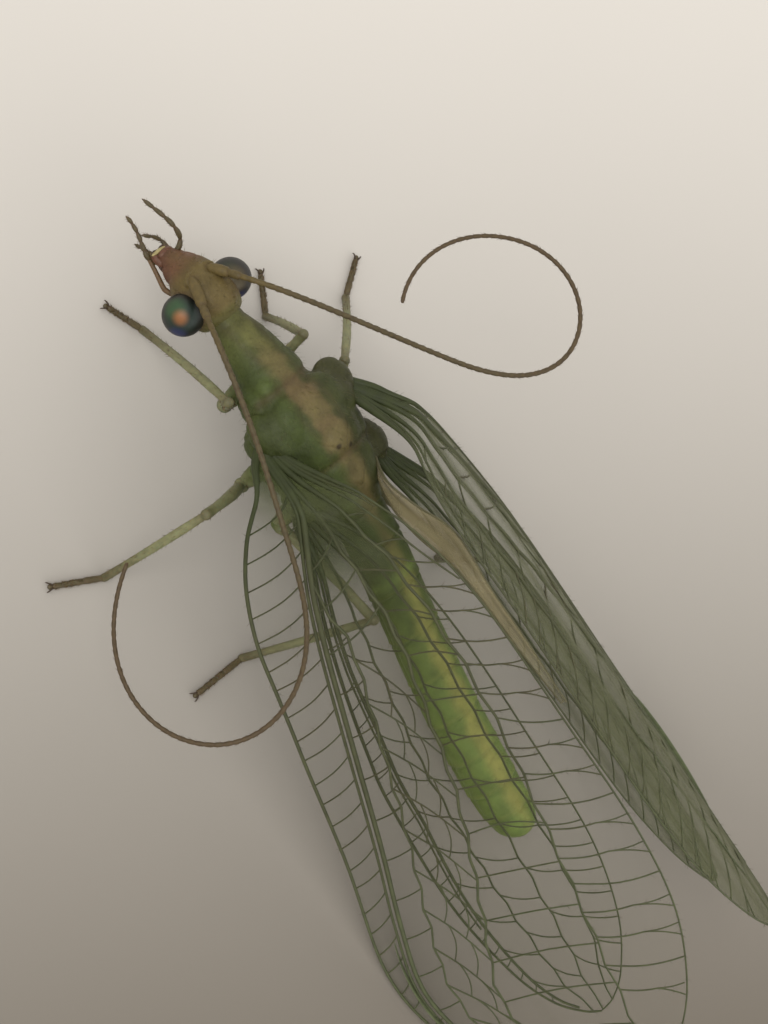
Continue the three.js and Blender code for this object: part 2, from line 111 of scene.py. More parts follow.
def unit(v):
    v = np.asarray(v, float)
    return v / np.maximum(np.linalg.norm(v, axis=-1, keepdims=True), 1e-12)


def mirrored(points, side):
    return np.asarray(points, float) * np.array([side, 1, 1])


def through(points, per_span=8):
    """A smooth path through the points."""
    points = np.asarray(points, float)
    padded = np.vstack([2 * points[0] - points[1], points, 2 * points[-1] - points[-2]])
    t = np.linspace(0, 1, per_span, endpoint=False)[:, None]
    spans = []
    for a, b, c, d in zip(padded, padded[1:], padded[2:], padded[3:]):
        bends = (2 * a - 5 * b + 4 * c - d) * t**2 + (3 * b - a - 3 * c + d) * t**3
        spans.append(0.5 * (2 * b + (c - a) * t + bends))
    return np.vstack([*spans, points[-1]])


def along(points, count):
    """Points spread evenly along a path."""
    steps = np.linalg.norm(np.diff(points, axis=0), axis=1)
    reach = np.concatenate([[0], np.cumsum(steps)])
    at = np.linspace(0, reach[-1], count)
    return np.stack([np.interp(at, reach, points[:, k]) for k in range(points.shape[1])], axis=1)


def widths_along(path, shares, widths):
    return np.interp(np.linspace(0, 1, len(path)), shares, widths)


# Meshes
class Shape:
    """Points in millimetres with faces, a colour and a place on the unwrapped skin for each point."""

    def __init__(self):
        self.points, self.colours, self.places = [], [], []
        self.quads, self.triangles = [], []
        self.size = 0

    def add(self, points, quads=(), triangles=(), colour=(1, 1, 1), place=(0, 0)):
        points = np.asarray(points, float).reshape(-1, 3)
        self.points.append(points)
        self.colours.append(np.broadcast_to(np.asarray(colour, float), (len(points), 3)))
        self.places.append(np.broadcast_to(np.asarray(place, float), (len(points), 2)))
        if len(quads):
            self.quads.append(np.asarray(quads, int) + self.size)
        if len(triangles):
            self.triangles.append(np.asarray(triangles, int) + self.size)
        self.size += len(points)

    def mesh(self, name, scale=1.0, shift=0.0):
        points = (np.vstack(self.points) + shift) * scale
        quads = np.vstack(self.quads) if self.quads else np.zeros((0, 4), int)
        triangles = np.vstack(self.triangles) if self.triangles else np.zeros((0, 3), int)
        mesh = bpy.data.meshes.new(name)
        mesh.vertices.add(len(points))
        mesh.vertices.foreach_set("co", points.ravel())
        corners = np.concatenate([quads.ravel(), triangles.ravel()])
        mesh.loops.add(len(corners))
        mesh.loops.foreach_set("vertex_index", corners.astype(np.int32))
        totals = np.concatenate([np.full(len(quads), 4), np.full(len(triangles), 3)])
        starts = np.concatenate([[0], np.cumsum(totals)[:-1]])
        mesh.polygons.add(len(totals))
        mesh.polygons.foreach_set("loop_start", starts.astype(np.int32))
        mesh.update(calc_edges=True)
        mesh.validate()
        return mesh


def place_piece(name, shape, material, replaces=(), unwrap=False, cover=1.0):
    mesh = shape.mesh(name, MM, SHIFT)
    colours = np.ones((shape.size, 4))
    colours[:, :3] = np.vstack(shape.colours)
    colours[:, 3] = cover
    mesh.attributes.new("tint", "FLOAT_COLOR", "POINT").data.foreach_set("color", colours.ravel())
    if unwrap:
        corners = np.empty(len(mesh.loops), np.int32)
        mesh.loops.foreach_get("vertex_index", corners)
        places = np.vstack(shape.places)[corners]
        mesh.uv_layers.new(name="OFBake").data.foreach_set("uv", places.ravel())
    mesh.shade_smooth()
    piece = bpy.data.objects.new(name, mesh)
    bpy.context.scene.collection.objects.link(piece)
    mesh.materials.append(MATERIALS[material])
    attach(piece, "root")
    if replaces:
        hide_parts(*replaces)
    return piece


def frames_along(points, hint=(0.31, 0.22, 0.92)):
    """The heading and two sideways directions at each point, turned as little as possible."""
    heading = unit(np.gradient(points, axis=0))
    across = np.empty_like(points)
    side = np.asarray(hint, float)
    for i, forward in enumerate(heading):
        side = unit(side - forward * (side @ forward))
        across[i] = side
    return heading, across, np.cross(heading, across)


def ring_faces(rows, sides, turned=False):
    """The quads between the rings of a closed tube, and a fan of triangles over each end."""
    a = np.arange(sides)
    b = (a + 1) % sides
    if turned:
        a, b = b, a
    start = np.arange(rows - 1)[:, None] * sides
    quads = np.stack([start + a, start + b, start + b + sides, start + a + sides], axis=-1)
    last = (rows - 1) * sides
    end = np.full(sides, last + sides)
    fans = [np.stack([b, a, end], 1), np.stack([last + a, last + b, end + 1], 1)]
    return quads.reshape(-1, 4), np.vstack(fans)


def circle(count):
    """The cosine and sine of each step round a circle."""
    turn = 2 * np.pi * np.arange(count) / count
    return np.cos(turn), np.sin(turn)


def tube(shape, points, radii, sides=8, flatten=1.0, hint=(0.31, 0.22, 0.92), colour=(1, 1, 1)):
    """A closed tube with rounded ends. flatten narrows it across the hint."""
    points = np.asarray(points, float)
    radii = np.broadcast_to(np.asarray(radii, float), len(points))
    heading, across, other = frames_along(points, hint)
    rows = [(points[0] - heading[0] * radii[0] * back, radii[0] * out, 0) for back, out in reversed(TUBE_END)]
    rows += [(point, radius, i) for i, (point, radius) in enumerate(zip(points, radii))]
    rows += [(points[-1] + heading[-1] * radii[-1] * ahead, radii[-1] * out, -1) for ahead, out in TUBE_END]
    centres, sizes, index = (np.array(column) for column in zip(*rows))
    cosine, sine = (part[None, :, None] for part in circle(sides))
    outward = cosine * flatten * across[index][:, None] + sine * other[index][:, None]
    rings = centres[:, None] + sizes[:, None, None] * outward
    ends = [centres[0] - heading[0] * radii[0] * 0.1, centres[-1] + heading[-1] * radii[-1] * 0.1]
    if np.ndim(colour) == 2:
        per_ring = np.asarray(colour)[index]
        colour = np.vstack([np.repeat(per_ring, sides, axis=0), per_ring[[0, -1]]])
    shape.add(np.vstack([rings.reshape(-1, 3), ends]), *ring_faces(len(rows), sides), colour=colour)


def ellipsoid(shape, centre, size, rows=14, sides=20, axis=(0, 0, 1), colour=(1, 1, 1)):
    """An ellipsoid with its last half size along the axis."""
    axis = unit(axis)
    hint = np.array([1.0, 0, 0] if abs(axis[0]) < 0.9 else [0, 1.0, 0])
    across = unit(hint - axis * (axis @ hint))
    other = np.cross(axis, across)
    polar = np.pi * np.arange(1, rows)[:, None] / rows
    cosine, sine = circle(sides)
    upward = np.broadcast_to(-np.cos(polar), (rows - 1, sides))
    local = np.stack([np.sin(polar) * cosine, np.sin(polar) * sine, upward], axis=-1).reshape(-1, 3)
    local = np.vstack([local, [[0, 0, -1], [0, 0, 1]]]) * np.asarray(size, float)
    points = np.asarray(centre, float) + local @ np.stack([across, other, axis])
    shape.add(points, *ring_faces(rows - 1, sides), colour=colour)


def hull(shape, stations, reach, squareness=1.0, sides=40, turned=False):
    """A closed tube of upright rings. Each station gives x, y, half width, top and bottom."""
    x, y, half, top, bottom = stations
    across, upward = (np.sign(part) * np.abs(part) ** squareness for part in circle(sides))
    middle, tall = (top + bottom) / 2, (top - bottom) / 2
    rings = np.stack(
        [
            x[:, None] + half[:, None] * across,
            np.broadcast_to(y[:, None], (len(y), sides)),
            middle[:, None] + tall[:, None] * upward,
        ],
        axis=-1,
    )
    ends = np.stack([x[[0, -1]], y[[0, -1]] + reach, middle[[0, -1]]], axis=1)
    shape.add(np.vstack([rings.reshape(-1, 3), ends]), *ring_faces(len(y), sides, turned))


def hairs(shape, roots, directions, lengths, thickness, bend=(0, 0, 0), colour=(1, 1, 1), places=(0.5, 0.5)):
    """Three-sided tapering hairs, each a small patch of the unwrap at its root's place."""
    roots = np.asarray(roots, float)
    count = len(roots)
    directions = unit(directions)
    lengths = np.broadcast_to(np.asarray(lengths, float), count)[:, None]
    across = unit(np.cross(directions, [0.37, 0.61, 0.7]))
    other = np.cross(directions, across)
    centre = lambda t: roots + lengths * (directions * t + np.asarray(bend, float) * t * abs(t))
    cosine, sine = (part[None, :, None] for part in circle(3))
    rings = [
        centre(t)[:, None] + share * thickness * (cosine * across[:, None] + sine * other[:, None])
        for t, share in ((-0.06, 1.0), (0.4, 0.75), (0.75, 0.42))
    ]
    points = np.concatenate([*rings, centre(1.0)[:, None]], axis=1)
    size = points.shape[1]
    quads, triangles = [], []
    for a, b in ((0, 1), (1, 2), (2, 0)):
        quads += [[a, b, b + 3, a + 3], [a + 3, b + 3, b + 6, a + 6]]
        triangles += [[a + 6, b + 6, size - 1]]
    triangles.append([2, 1, 0])
    base = np.arange(count)[:, None, None] * size
    colour = np.repeat(np.broadcast_to(np.asarray(colour, float), (count, 3)), size, axis=0)
    patch = np.array([[k % 3, k // 3] for k in range(size)]) / 3 * PATCH_SIZE
    place = (np.broadcast_to(places, (count, 2))[:, None] + patch[None]).reshape(-1, 2)
    shape.add(points, (base + quads).reshape(-1, 4), (base + triangles).reshape(-1, 3), colour, place)


def bristles(path, radii, at, sunk, out, ahead):
    """Roots on a tube at some points of its path, and directions that lean ahead, upwards near the floor."""
    heading, across, other = frames_along(path)
    turn = random.uniform(0, 2 * np.pi, len(at))[:, None]
    outward = np.cos(turn) * across[at] + np.sin(turn) * other[at]
    low = path[at, 2] < FLOOR_HAIR_REACH
    outward[low, 2] = np.abs(outward[low, 2])
    return path[at] + outward * radii[at][:, None] * sunk, outward * out + heading[at] * ahead


def fused(shape, voxel, smoothing):
    """One closed skin round all the shape's pieces: its points, outward directions and faces."""
    source = bpy.data.objects.new("fusing", shape.mesh("fusing"))
    bpy.context.scene.collection.objects.link(source)
    remesh = source.modifiers.new("remesh", "REMESH")
    remesh.mode = "VOXEL"
    remesh.voxel_size = voxel
    soften = source.modifiers.new("soften", "SMOOTH")
    soften.factor = 0.5
    soften.iterations = smoothing
    result = source.evaluated_get(bpy.context.evaluated_depsgraph_get()).to_mesh()
    count = len(result.vertices)
    points, normals = np.empty(count * 3), np.empty(count * 3)
    result.vertices.foreach_get("co", points)
    result.vertices.foreach_get("normal", normals)
    corners = np.empty(len(result.loops), np.int32)
    result.loops.foreach_get("vertex_index", corners)
    mesh = source.data
    bpy.data.objects.remove(source)
    bpy.data.meshes.remove(mesh)
    return points.reshape(-1, 3), normals.reshape(-1, 3), corners.reshape(-1, 4)


# Materials
class Surface:
    """A procedural material whose textures are measured in millimetres."""

    def __init__(self, name, **sockets):
        self.material = bpy.data.materials.new(name)
        self.material.use_nodes = True
        self.tree = self.material.node_tree
        self.shader = self.tree.nodes["Principled BSDF"]
        for socket, value in sockets.items():
            self.shader.inputs[socket.replace("_", " ")].default_value = value
        place = self.add("ShaderNodeTexCoord").outputs["Object"]
        scaled = self.add("ShaderNodeVectorMath", {0: place, "Scale": 1 / MM}, operation="SCALE")
        self.place = scaled.outputs[0]

    def add(self, kind, inputs=None, **settings):
        node = self.tree.nodes.new(kind)
        for key, value in settings.items():
            setattr(node, key, value)
        for key, value in (inputs or {}).items():
            if isinstance(value, bpy.types.NodeSocket):
                self.tree.links.new(value, node.inputs[key])
            else:
                node.inputs[key].default_value = value
        return node

    def noise(self, scale, detail=3.0):
        inputs = {"Vector": self.place, "Scale": scale, "Detail": detail}
        return self.add("ShaderNodeTexNoise", inputs).outputs["Fac"]

    def spread(self, value, low, high, to_low=0.0, to_high=1.0, manner="LINEAR"):
        inputs = {"Value": value, "From Min": low, "From Max": high, "To Min": to_low, "To Max": to_high}
        return self.add("ShaderNodeMapRange", inputs, interpolation_type=manner).outputs[0]

    def clouds(self, scale, low, high):
        return self.spread(self.noise(scale), 0.3, 0.7, low, high)

    def mix(self, share, a, b, blend="MIX"):
        node = self.add("ShaderNodeMix", {0: share, 6: a, 7: b}, data_type="RGBA", blend_type=blend)
        return node.outputs[2]

    def tint(self, part="Color"):
        return self.add("ShaderNodeAttribute", attribute_name="tint").outputs[part]

    def mottled(self, colour, scale, low, high):
        """The colour, darker and lighter in soft patches."""
        shade = self.clouds(scale, low, high)
        grey = self.add("ShaderNodeCombineColor", {0: shade, 1: shade, 2: shade}).outputs[0]
        return self.mix(1.0, colour, grey, "MULTIPLY")

    def bump(self, scale, detail, distance, **over):
        inputs = {"Height": self.noise(scale, detail), "Distance": distance * MM, **over}
        return self.add("ShaderNodeBump", inputs).outputs[0]

    def roughen(self, scale, low, high):
        self.link(self.clouds(scale, low, high), "Roughness")

    def link(self, value, socket):
        self.tree.links.new(value, self.shader.inputs[socket])


def skin_material():
    surface = Surface("cuticle", Subsurface_Weight=0.15, Subsurface_Scale=0.00022, Coat_Weight=0.02,
                      Coat_Roughness=0.35, Subsurface_Radius=(0.9, 1.0, 0.35), Specular_IOR_Level=0.24)
    colour = surface.mottled(surface.tint(), 4.0, 0.82, 1.16)
    surface.link(surface.mottled(colour, 22.0, 0.9, 1.08), "Base Color")
    surface.roughen(14.0, 0.42, 0.62)
    grain = surface.bump(55.0, 4.0, 0.004)
    surface.link(surface.bump(14.0, 3.0, 0.01, Normal=grain), "Normal")
    return surface.material


def horn_material(name, roughness, grain, weight=0.0):
    surface = Surface(name, Coat_Weight=0.04, Coat_Roughness=0.3, Subsurface_Weight=weight,
                      Subsurface_Scale=0.0001, Specular_IOR_Level=0.3)
    surface.link(surface.mottled(surface.tint(), grain, 0.8, 1.18), "Base Color")
    surface.roughen(grain, roughness - 0.1, roughness + 0.12)
    surface.link(surface.bump(grain * 3, 4.0, 0.004), "Normal")
    return surface.material


def eye_material():
    surface = Surface("eye_lens", Metallic=0.15, Coat_Weight=0.12, Coat_Roughness=0.3)
    surface.link(surface.mottled(surface.tint(), 9.0, 0.88, 1.12), "Base Color")
    surface.roughen(30.0, 0.4, 0.5)
    return surface.material


def membrane_material():
    """Clear face on, denser at a slant and where the tint's cover says so."""
    surface = Surface("wing_membrane", Coat_Weight=0.03, Coat_Roughness=0.25, Specular_IOR_Level=0.15)
    surface.link(surface.mottled(surface.tint(), 1.4, 0.85, 1.1), "Base Color")
    grazing = surface.add("ShaderNodeLayerWeight", {"Blend": 0.5}).outputs["Facing"]
    slanted = surface.spread(grazing, 0.3, 0.85, 0.04, 0.72)
    covers = {0: slanted, 1: surface.tint("Alpha")}
    surface.link(surface.add("ShaderNodeMath", covers, operation="MAXIMUM").outputs[0], "Alpha")
    surface.roughen(5.0, 0.3, 0.45)
    surface.link(surface.bump(5.0, 3.0, 0.012), "Normal")
    return surface.material


def floor_material():
    """Pale, with painted shade that darkens it towards the near side, so it is paler towards the far side
    that the animal faces.
    """
    surface = Surface("pale_floor", Roughness=0.75, Specular_IOR_Level=0.1)
    slope = {0: surface.place, 1: (*FLOOR_SLOPE, 0)}
    across = surface.add("ShaderNodeVectorMath", slope, operation="DOT_PRODUCT").outputs["Value"]
    near, far = (reach + SHIFT[:2] @ np.array(FLOOR_SLOPE) for reach in FLOOR_REACH)
    share = surface.spread(across, near, far, manner="SMOOTHSTEP")
    colour = surface.mix(share, (*FLOOR_PAINTED_SHADE, 1), (*FLOOR_PALE, 1))
    surface.link(surface.mottled(colour, 0.08, 0.985, 1.01), "Base Color")
    return surface.material


MATERIALS = {
    "skin": skin_material(),
    "eye": eye_material(),
    "mouth": horn_material("mouth_horn", 0.4, 22.0, 0.1),
    "feeler": horn_material("feeler_horn", 0.55, 18.0),
    "leg": horn_material("leg_cuticle", 0.5, 12.0, 0.12),
    "claw": horn_material("claw_horn", 0.3, 20.0),
    "vein": horn_material("wing_vein", 0.62, 6.0),
    "hair": horn_material("fine_hair", 0.45, 8.0),
    "membrane": membrane_material(),
}

# Colours, as the light they send back
GREEN = np.array([0.078, 0.104, 0.023])
DARK_GREEN = np.array([0.046, 0.06, 0.017])
SHADED_GREEN = np.array([0.045, 0.043, 0.016])
BRIGHT_GREEN = np.array([0.17, 0.235, 0.056])
YELLOW = np.array([0.36, 0.34, 0.092])
TAN = np.array([0.145, 0.112, 0.045])
OLIVE = np.array([0.112, 0.08, 0.026])
BROWN = np.array([0.08, 0.048, 0.024])
RED_BROWN = np.array([0.13, 0.058, 0.033])
FEELER_TAN = np.array([0.09, 0.069, 0.032])
LABRUM_PALE = np.array([0.4, 0.33, 0.15])
LEG_GREEN = np.array([0.21, 0.21, 0.105])
VEIN_GREEN = np.array([0.07, 0.082, 0.038])
MEMBRANE_GREEN = np.array([0.11, 0.117, 0.054])
FOLD_TAN = np.array([0.26, 0.22, 0.12])
BLACK_BROWN = np.array([0.03, 0.02, 0.012])


def blend(a, b, share):
    share = np.asarray(share, float)[..., None]
    return np.asarray(a) * (1 - share) + np.asarray(b) * share


def washed(colour, *washes):
    """The colour with each wash laid over it in turn. A wash is its own colour and its share."""
    for wash, share in washes:
        colour = blend(colour, wash, share)
    return colour


# Body: one skin from the neck to the tip of the abdomen. Each station gives x, y, half width, top and bottom.
BODY_STATIONS = np.array([
    [0, -2.38, 0.24, 2.2, 1.8],
    [0, -2.2, 0.28, 2.26, 1.76],
    [0, -2.0, 0.32, 2.33, 1.75],
    [0, -1.75, 0.39, 2.43, 1.77],
    [0, -1.45, 0.44, 2.51, 1.77],
    [0, -1.2, 0.5, 2.59, 1.75],
    [0, -1.0, 0.52, 2.62, 1.72],
    [0, -0.86, 0.52, 2.63, 1.6],
    [0, -0.55, 0.67, 2.81, 1.28],
    [0, -0.1, 0.77, 2.87, 1.15],
    [0, 0.3, 0.74, 2.82, 1.16],
    [0, 0.45, 0.7, 2.74, 1.19],
    [0, 0.62, 0.72, 2.74, 1.18],
    [0, 0.9, 0.68, 2.66, 1.2],
    [0, 1.18, 0.55, 2.53, 1.36],
    [0, 1.38, 0.45, 2.42, 1.52],
    [0, 1.6, 0.44, 2.37, 1.56],
    [0.0, 2.4, 0.455, 2.18, 1.32],
    [0.04, 3.6, 0.445, 1.8, 0.95],
    [0.16, 5.25, 0.455, 1.475, 0.6],
    [0.27, 6.7, 0.445, 1.36, 0.49],
    [0.31, 7.35, 0.39, 1.34, 0.56],
    [0.33, 7.58, 0.29, 1.3, 0.68],
    [0.335, 7.68, 0.16, 1.2, 0.82],
])
SEGMENT_EDGES = np.array([1.42, 2.05, 2.85, 3.68, 4.5, 5.3, 6.05, 6.7, 7.2])


BODY_PATH = through(BODY_STATIONS, 6)


def body_station(y):
    """The middle x, half width, top and bottom of the body at y."""
    return [np.interp(y, BODY_PATH[:, 1], BODY_PATH[:, k]) for k in (0, 2, 3, 4)]


def body_places(points):
    """How far points lie from the body's middle, at what share of its height, and its half width there."""
    x, y, z = points.T
    middle, half, top, bottom = body_station(y)
    return np.abs(x - middle), (z - bottom) / (top - bottom), half


HIPS = {"front": (0.2, -1.14, 1.55), "middle": (0.64, 0.08, 1.24), "hind": (0.54, 0.85, 1.27)}
THIGHS = {"front": (0.41, -1.02, 1.16), "middle": (0.84, 0.15, 1.0), "hind": (0.77, 0.98, 1.03)}
WING_LUMPS = [((0.74, -0.48, 2.36), (0.32, 0.38, 0.26)), ((0.78, 0.66, 2.1), (0.31, 0.4, 0.28))]


MIDDLE_LUMPS = [
    ((0, 0.14, 2.72), (0.25, 0.26, 0.18)),
    ((0, 0.8, 2.54), (0.2, 0.22, 0.17)),
    ((0, -0.62, 2.6), (0.24, 0.22, 0.17)),
]
LEFT_LUMPS = [
    ((0.52, -0.84, 2.14), (0.2, 0.34, 0.32)),
    ((0.3, -1.0, 2.3), (0.24, 0.3, 0.3)),
    ((0.3, -0.8, 2.36), (0.28, 0.32, 0.25)),
]
NOTUM_LUMPS = [
    ((0.3, -0.4, 2.6), (0.36, 0.44, 0.21)),
    ((0.56, -0.3, 2.5), (0.3, 0.4, 0.2)),
    ((0.52, 0.12, 2.3), (0.3, 0.5, 0.3)),
    ((0.33, 0.62, 2.48), (0.26, 0.2, 0.17)),
]
SIDE_PLATES = [
    ((0.52, -0.25, 1.75), (0.28, 0.36, 0.45)),
    ((0.54, 0.32, 1.7), (0.26, 0.3, 0.44)),
    ((0.48, 0.88, 1.75), (0.26, 0.28, 0.38)),
    ((0.18, -1.35, 1.86), (0.16, 0.38, 0.2)),
]
LEFT_JOINT_WIDTH = 0.76


def body_lumps(shape):
    """Shoulders of the thorax: notum lobes, wing joints, side plates and hip sockets."""
    for centre, size in MIDDLE_LUMPS + LEFT_LUMPS:
        ellipsoid(shape, centre, size)
    for _, side in SIDES:
        for centre, size in NOTUM_LUMPS:
            ellipsoid(shape, mirrored(centre, side), size)
        for centre, size in WING_LUMPS:
            centre = mirrored(centre, side)
            ellipsoid(shape, centre, np.array(size) * [LEFT_JOINT_WIDTH if side > 0 else 1, 1, 1])
            ellipsoid(shape, centre * [0.66, 1, 1] + [0, 0.02, 0.1], (0.34, 0.34, 0.24))
            tube(shape, [centre, centre + [0.1 * side, 0.2, 0.04]], [0.2, 0.12], 12)
        for centre, size in SIDE_PLATES:
            ellipsoid(shape, mirrored(centre, side), size)
        for hip in HIPS.values():
            ellipsoid(shape, mirrored(hip, side) + [0, 0, 0.14], (0.18, 0.18, 0.24))


# Grooves right round the body, as y, width and depth
GROOVES = ((-2.1, 0.05, 0.012), (-0.93, 0.05, 0.016), (0.45, 0.05, 0.02))
# Furrows of the notum that part backwards, as front, slope and reach, and its rims, as end and width
FURROWS = ((-0.78, 0.55, 0.75), (0.5, 0.45, 0.35))
NOTUM_RIMS = ((0.4, 0.32), (1.02, 0.26))
# Seams between the side plates, as front and lean
PLATE_SEAMS = ((-0.55, 0.35), (0.02, 0.3), (0.62, 0.3), (1.02, 0.2))


def body_relief(points):
    """How far the body's surface stands out or is sunk, for its sutures, rings and folds."""
    y = points[:, 1]
    off, level, half = body_places(points)
    upper = ramp(level, 0.45, 0.3)
    relief = -sum(depth * bell(y, at, width) for at, width, depth in GROOVES)
    relief -= 0.012 * upper * bell(y, -1.36, 0.035)
    relief -= 0.008 * upper * bell(y, -1.72, 0.035) * smooth(off / 0.2)
    relief -= 0.01 * upper * bell(off, 0.0, 0.03) * ramp(y, -0.9, 0.2) * fall(y, 0.0, 0.1)
    for front, slope, reach in FURROWS:
        within = ramp(y, front, 0.06) * fall(y, front + reach, 0.1)
        relief -= 0.01 * upper * within * bell(off, 0.1 + slope * (y - front), 0.035)
    for end, width in NOTUM_RIMS:
        within = ramp(y, end - 0.45, 0.08) * fall(y, end + 0.02, 0.05)
        relief -= 0.012 * upper * within * bell(off, np.minimum((end - y) * 0.9, width), 0.03)
    thorax = ramp(y, -0.85, 0.1) * fall(y, 1.25, 0.1)
    side = ramp(off, half * 0.7, 0.1) * (1 - ramp(level, 0.75, 0.1))
    for front, lean in PLATE_SEAMS:
        relief -= 0.018 * thorax * side * bell(y + lean * (level - 0.4), front, 0.03)
    for edge in SEGMENT_EDGES:
        step = smooth((y - edge + 0.13) / 0.12) * fall(y, edge, 0.03)
        relief += 0.012 * step - 0.02 * bell(y, edge + 0.02, 0.025) - 0.006 * bell(y, edge + 0.16, 0.07)
    pleura = (bell(level, 0.4, 0.05) + 0.6 * bell(level, 0.3, 0.03)) * ramp(off, half * 0.6, 0.1)
    return relief - 0.024 * ramp(y, 1.35, 0.1) * pleura * fall(y, 7.3, 0.3)


# The pale stripe down the back: its half width and its strength at each y
STRIPE_WIDTHS = np.array([
    [-2.4, 0.17], [-1.8, 0.15], [-1.1, 0.15], [-0.9, 0.18], [-0.4, 0.24], [0.35, 0.19], [0.6, 0.14],
    [1.2, 0.15], [1.6, 0.09], [3.0, 0.12], [5.0, 0.15], [7.0, 0.13], [7.6, 0.06],
])
STRIPE_STRENGTHS = np.array([
    [-2.3, 0.35], [-1.9, 0.7], [-1.0, 0.85], [1.2, 0.85], [1.7, 0.5], [2.6, 0.75], [7.2, 0.8], [7.7, 0.2],
])
DARK_SPOTS = ((0.09, 0.25), (-0.14, 0.36))


def body_colour(points):
    x, y, z = points.T
    off, level, _ = body_places(points)
    abdomen = ramp(y, 1.3, 0.5)
    wave = 0.5 + 0.5 * np.sin(7.1 * x + 3.3 * np.sin(2.9 * y)) * np.sin(4.7 * y + 2.0 * z)
    blotch = np.sin(11 * x + 2.2 * np.sin(5.3 * y + 1)) * np.sin(8.3 * y + 3 * z + 0.7)
    upper, crown = ramp(level, 0.3, 0.3), ramp(level, 0.7, 0.1)
    flank = washed(
        GREEN,
        (DARK_GREEN, 0.7 * wave * (1 - abdomen) + 0.55 * bell(y, 1.9, 0.8)),
        (TAN * 0.75, 0.35 * fall(y, -1.2, 0.9) * upper),
        (BRIGHT_GREEN, ramp(y, 2.6, 3.0) * (0.85 + 0.15 * wave)),
        (YELLOW * 0.8, 0.5 * abdomen * ramp(y, 2.5, 2) * fall(level, 0.32, 0.2)),
        (0, 0.3 * bell(y, -0.15, 0.6) * upper),
    )
    # Painted shade: the right side of the thorax and the wing joints' lumps on both sides are darkened as if
    # in shadow.
    shaded = fall(x, 0.1, 0.35) * fall(y, 1.7, 0.5)
    flank = blend(flank, SHADED_GREEN, 0.55 * shaded)
    for centre, size in WING_LUMPS:
        lump = np.linalg.norm((np.stack([np.abs(x), y, z], 1) - centre) / (np.array(size) * 1.25), axis=1)
        flank = blend(flank, SHADED_GREEN * 1.1, (0.2 + 0.55 * shaded) * fall(lump, 1.35, 0.5))
    width = np.interp(y, *STRIPE_WIDTHS.T)
    ragged = width * (1 + 0.16 * np.sin(9 * y + 1) + 0.22 * blotch)
    stripe = smooth((ragged - off) / (0.14 + 0.08 * abdomen) + 0.5) * ramp(level, 0.68, 0.16)
    stripe_colour = washed(
        TAN,
        (YELLOW, 0.9 * ramp(y, 1.6, 1.8)),
        (GREEN * 1.5, 0.4 * fall(y, -1.3, 0.6)),
        (BROWN * 1.6, 0.55 * bell(y, -0.78, 0.22) + 0.35 * bell(y, -0.15, 0.12)),
        (TAN * 1.35, 0.6 * bell(y, 0.17, 0.17) * bell(off, 0, 0.2)),
        (0, -0.14 * blotch * (1 - 0.5 * abdomen)),
    )
    rim = ramp(level, 0.6, 0.15) * bell(off, width + 0.06, 0.06) * (1 - abdomen)
    colour = washed(
        flank,
        (stripe_colour, stripe * np.interp(y, *STRIPE_STRENGTHS.T)),
        (BROWN, 0.22 * rim),
        (BROWN, 0.45 * bell(y, -0.93, 0.07) * crown),
        (BROWN, 0.35 * bell(y, 0.45, 0.05) * crown),
    )
    for spot in DARK_SPOTS:
        distance = np.hypot(x - spot[0], y - spot[1])
        colour = blend(colour, BLACK_BROWN, 0.8 * fall(distance, 0.055, 0.03) * crown)
    for edge in SEGMENT_EDGES:
        colour = washed(
            colour,
            (0, 0.12 * bell(y, edge + 0.02, 0.03) * abdomen),
            (YELLOW * 0.8, 0.2 * bell(y, edge - 0.05, 0.03) * abdomen * ramp(y, 2, 2)),
        )
    return blend(colour, BRIGHT_GREEN * 1.2, 0.45 * bell(y, 2.62, 0.09) * upper)


def unwrapped(along_it, round_it):
    """Places on an unwrap, from a share of the length and an angle."""
    return UNWRAP_START + UNWRAP_SPREAD * np.stack([along_it, (round_it + np.pi) / (2 * np.pi)], axis=1)


def unwrap_body(points):
    """Each point's place on the body's own unwrap: along it and round it."""
    x, y, z = points.T
    middle, half, top, bottom = body_station(y)
    turn = np.arctan2((z - (top + bottom) / 2) / (top - bottom), (x - middle) / half / 2)
    return unwrapped((y + 2.4) / 10.1, turn)


def skin_piece(name, points, quads, colour, nodes):
    skin = Shape()
    skin.add(points, quads, colour=colour)
    place_piece(name, skin, "skin", nodes)


def body_skin():
    rough = Shape()
    y = np.linspace(BODY_STATIONS[0, 1], BODY_STATIONS[-1, 1], 150)
    x, half, top, bottom = body_station(y)
    hull(rough, (x, y, half, top, bottom), (-0.05, 0.04), 0.88, 48, turned=True)
    body_lumps(rough)
    points, normals, quads = fused(rough, BODY_VOXEL, 14)
    points = points + normals * body_relief(points)[:, None]
    nodes = ("prothorax", "mesothorax", "metathorax", "abdomen")
    skin_piece("body_skin", points, quads, body_colour(points), nodes)
    return points, normals


def body_hairs(points, normals):
    """Short pale setae: dense on the notum's sides, sparse along the abdomen."""
    y = points[:, 1]
    chance = 0.01 + 0.012 * fall(y, 1.4, 0.5) * ramp(y, -2.2, 0.2)
    chosen = np.flatnonzero(random.random(len(points)) < chance)
    roots = points[chosen] - normals[chosen] * 0.01
    back = np.array([0, 0.55, 0.1]) + random.normal(0, 0.22, (len(chosen), 3))
    lengths = random.uniform(0.07, 0.14, len(chosen))
    shape = Shape()
    colour = blend(TAN, GREEN, random.random(len(chosen)))
    hairs(shape, roots, normals[chosen] + back, lengths, SETA_WIDTHS["body"], (0, 0.18, -0.1), colour,
          unwrap_body(points[chosen]))
    place_piece("body_setae", shape, "hair", unwrap=True)


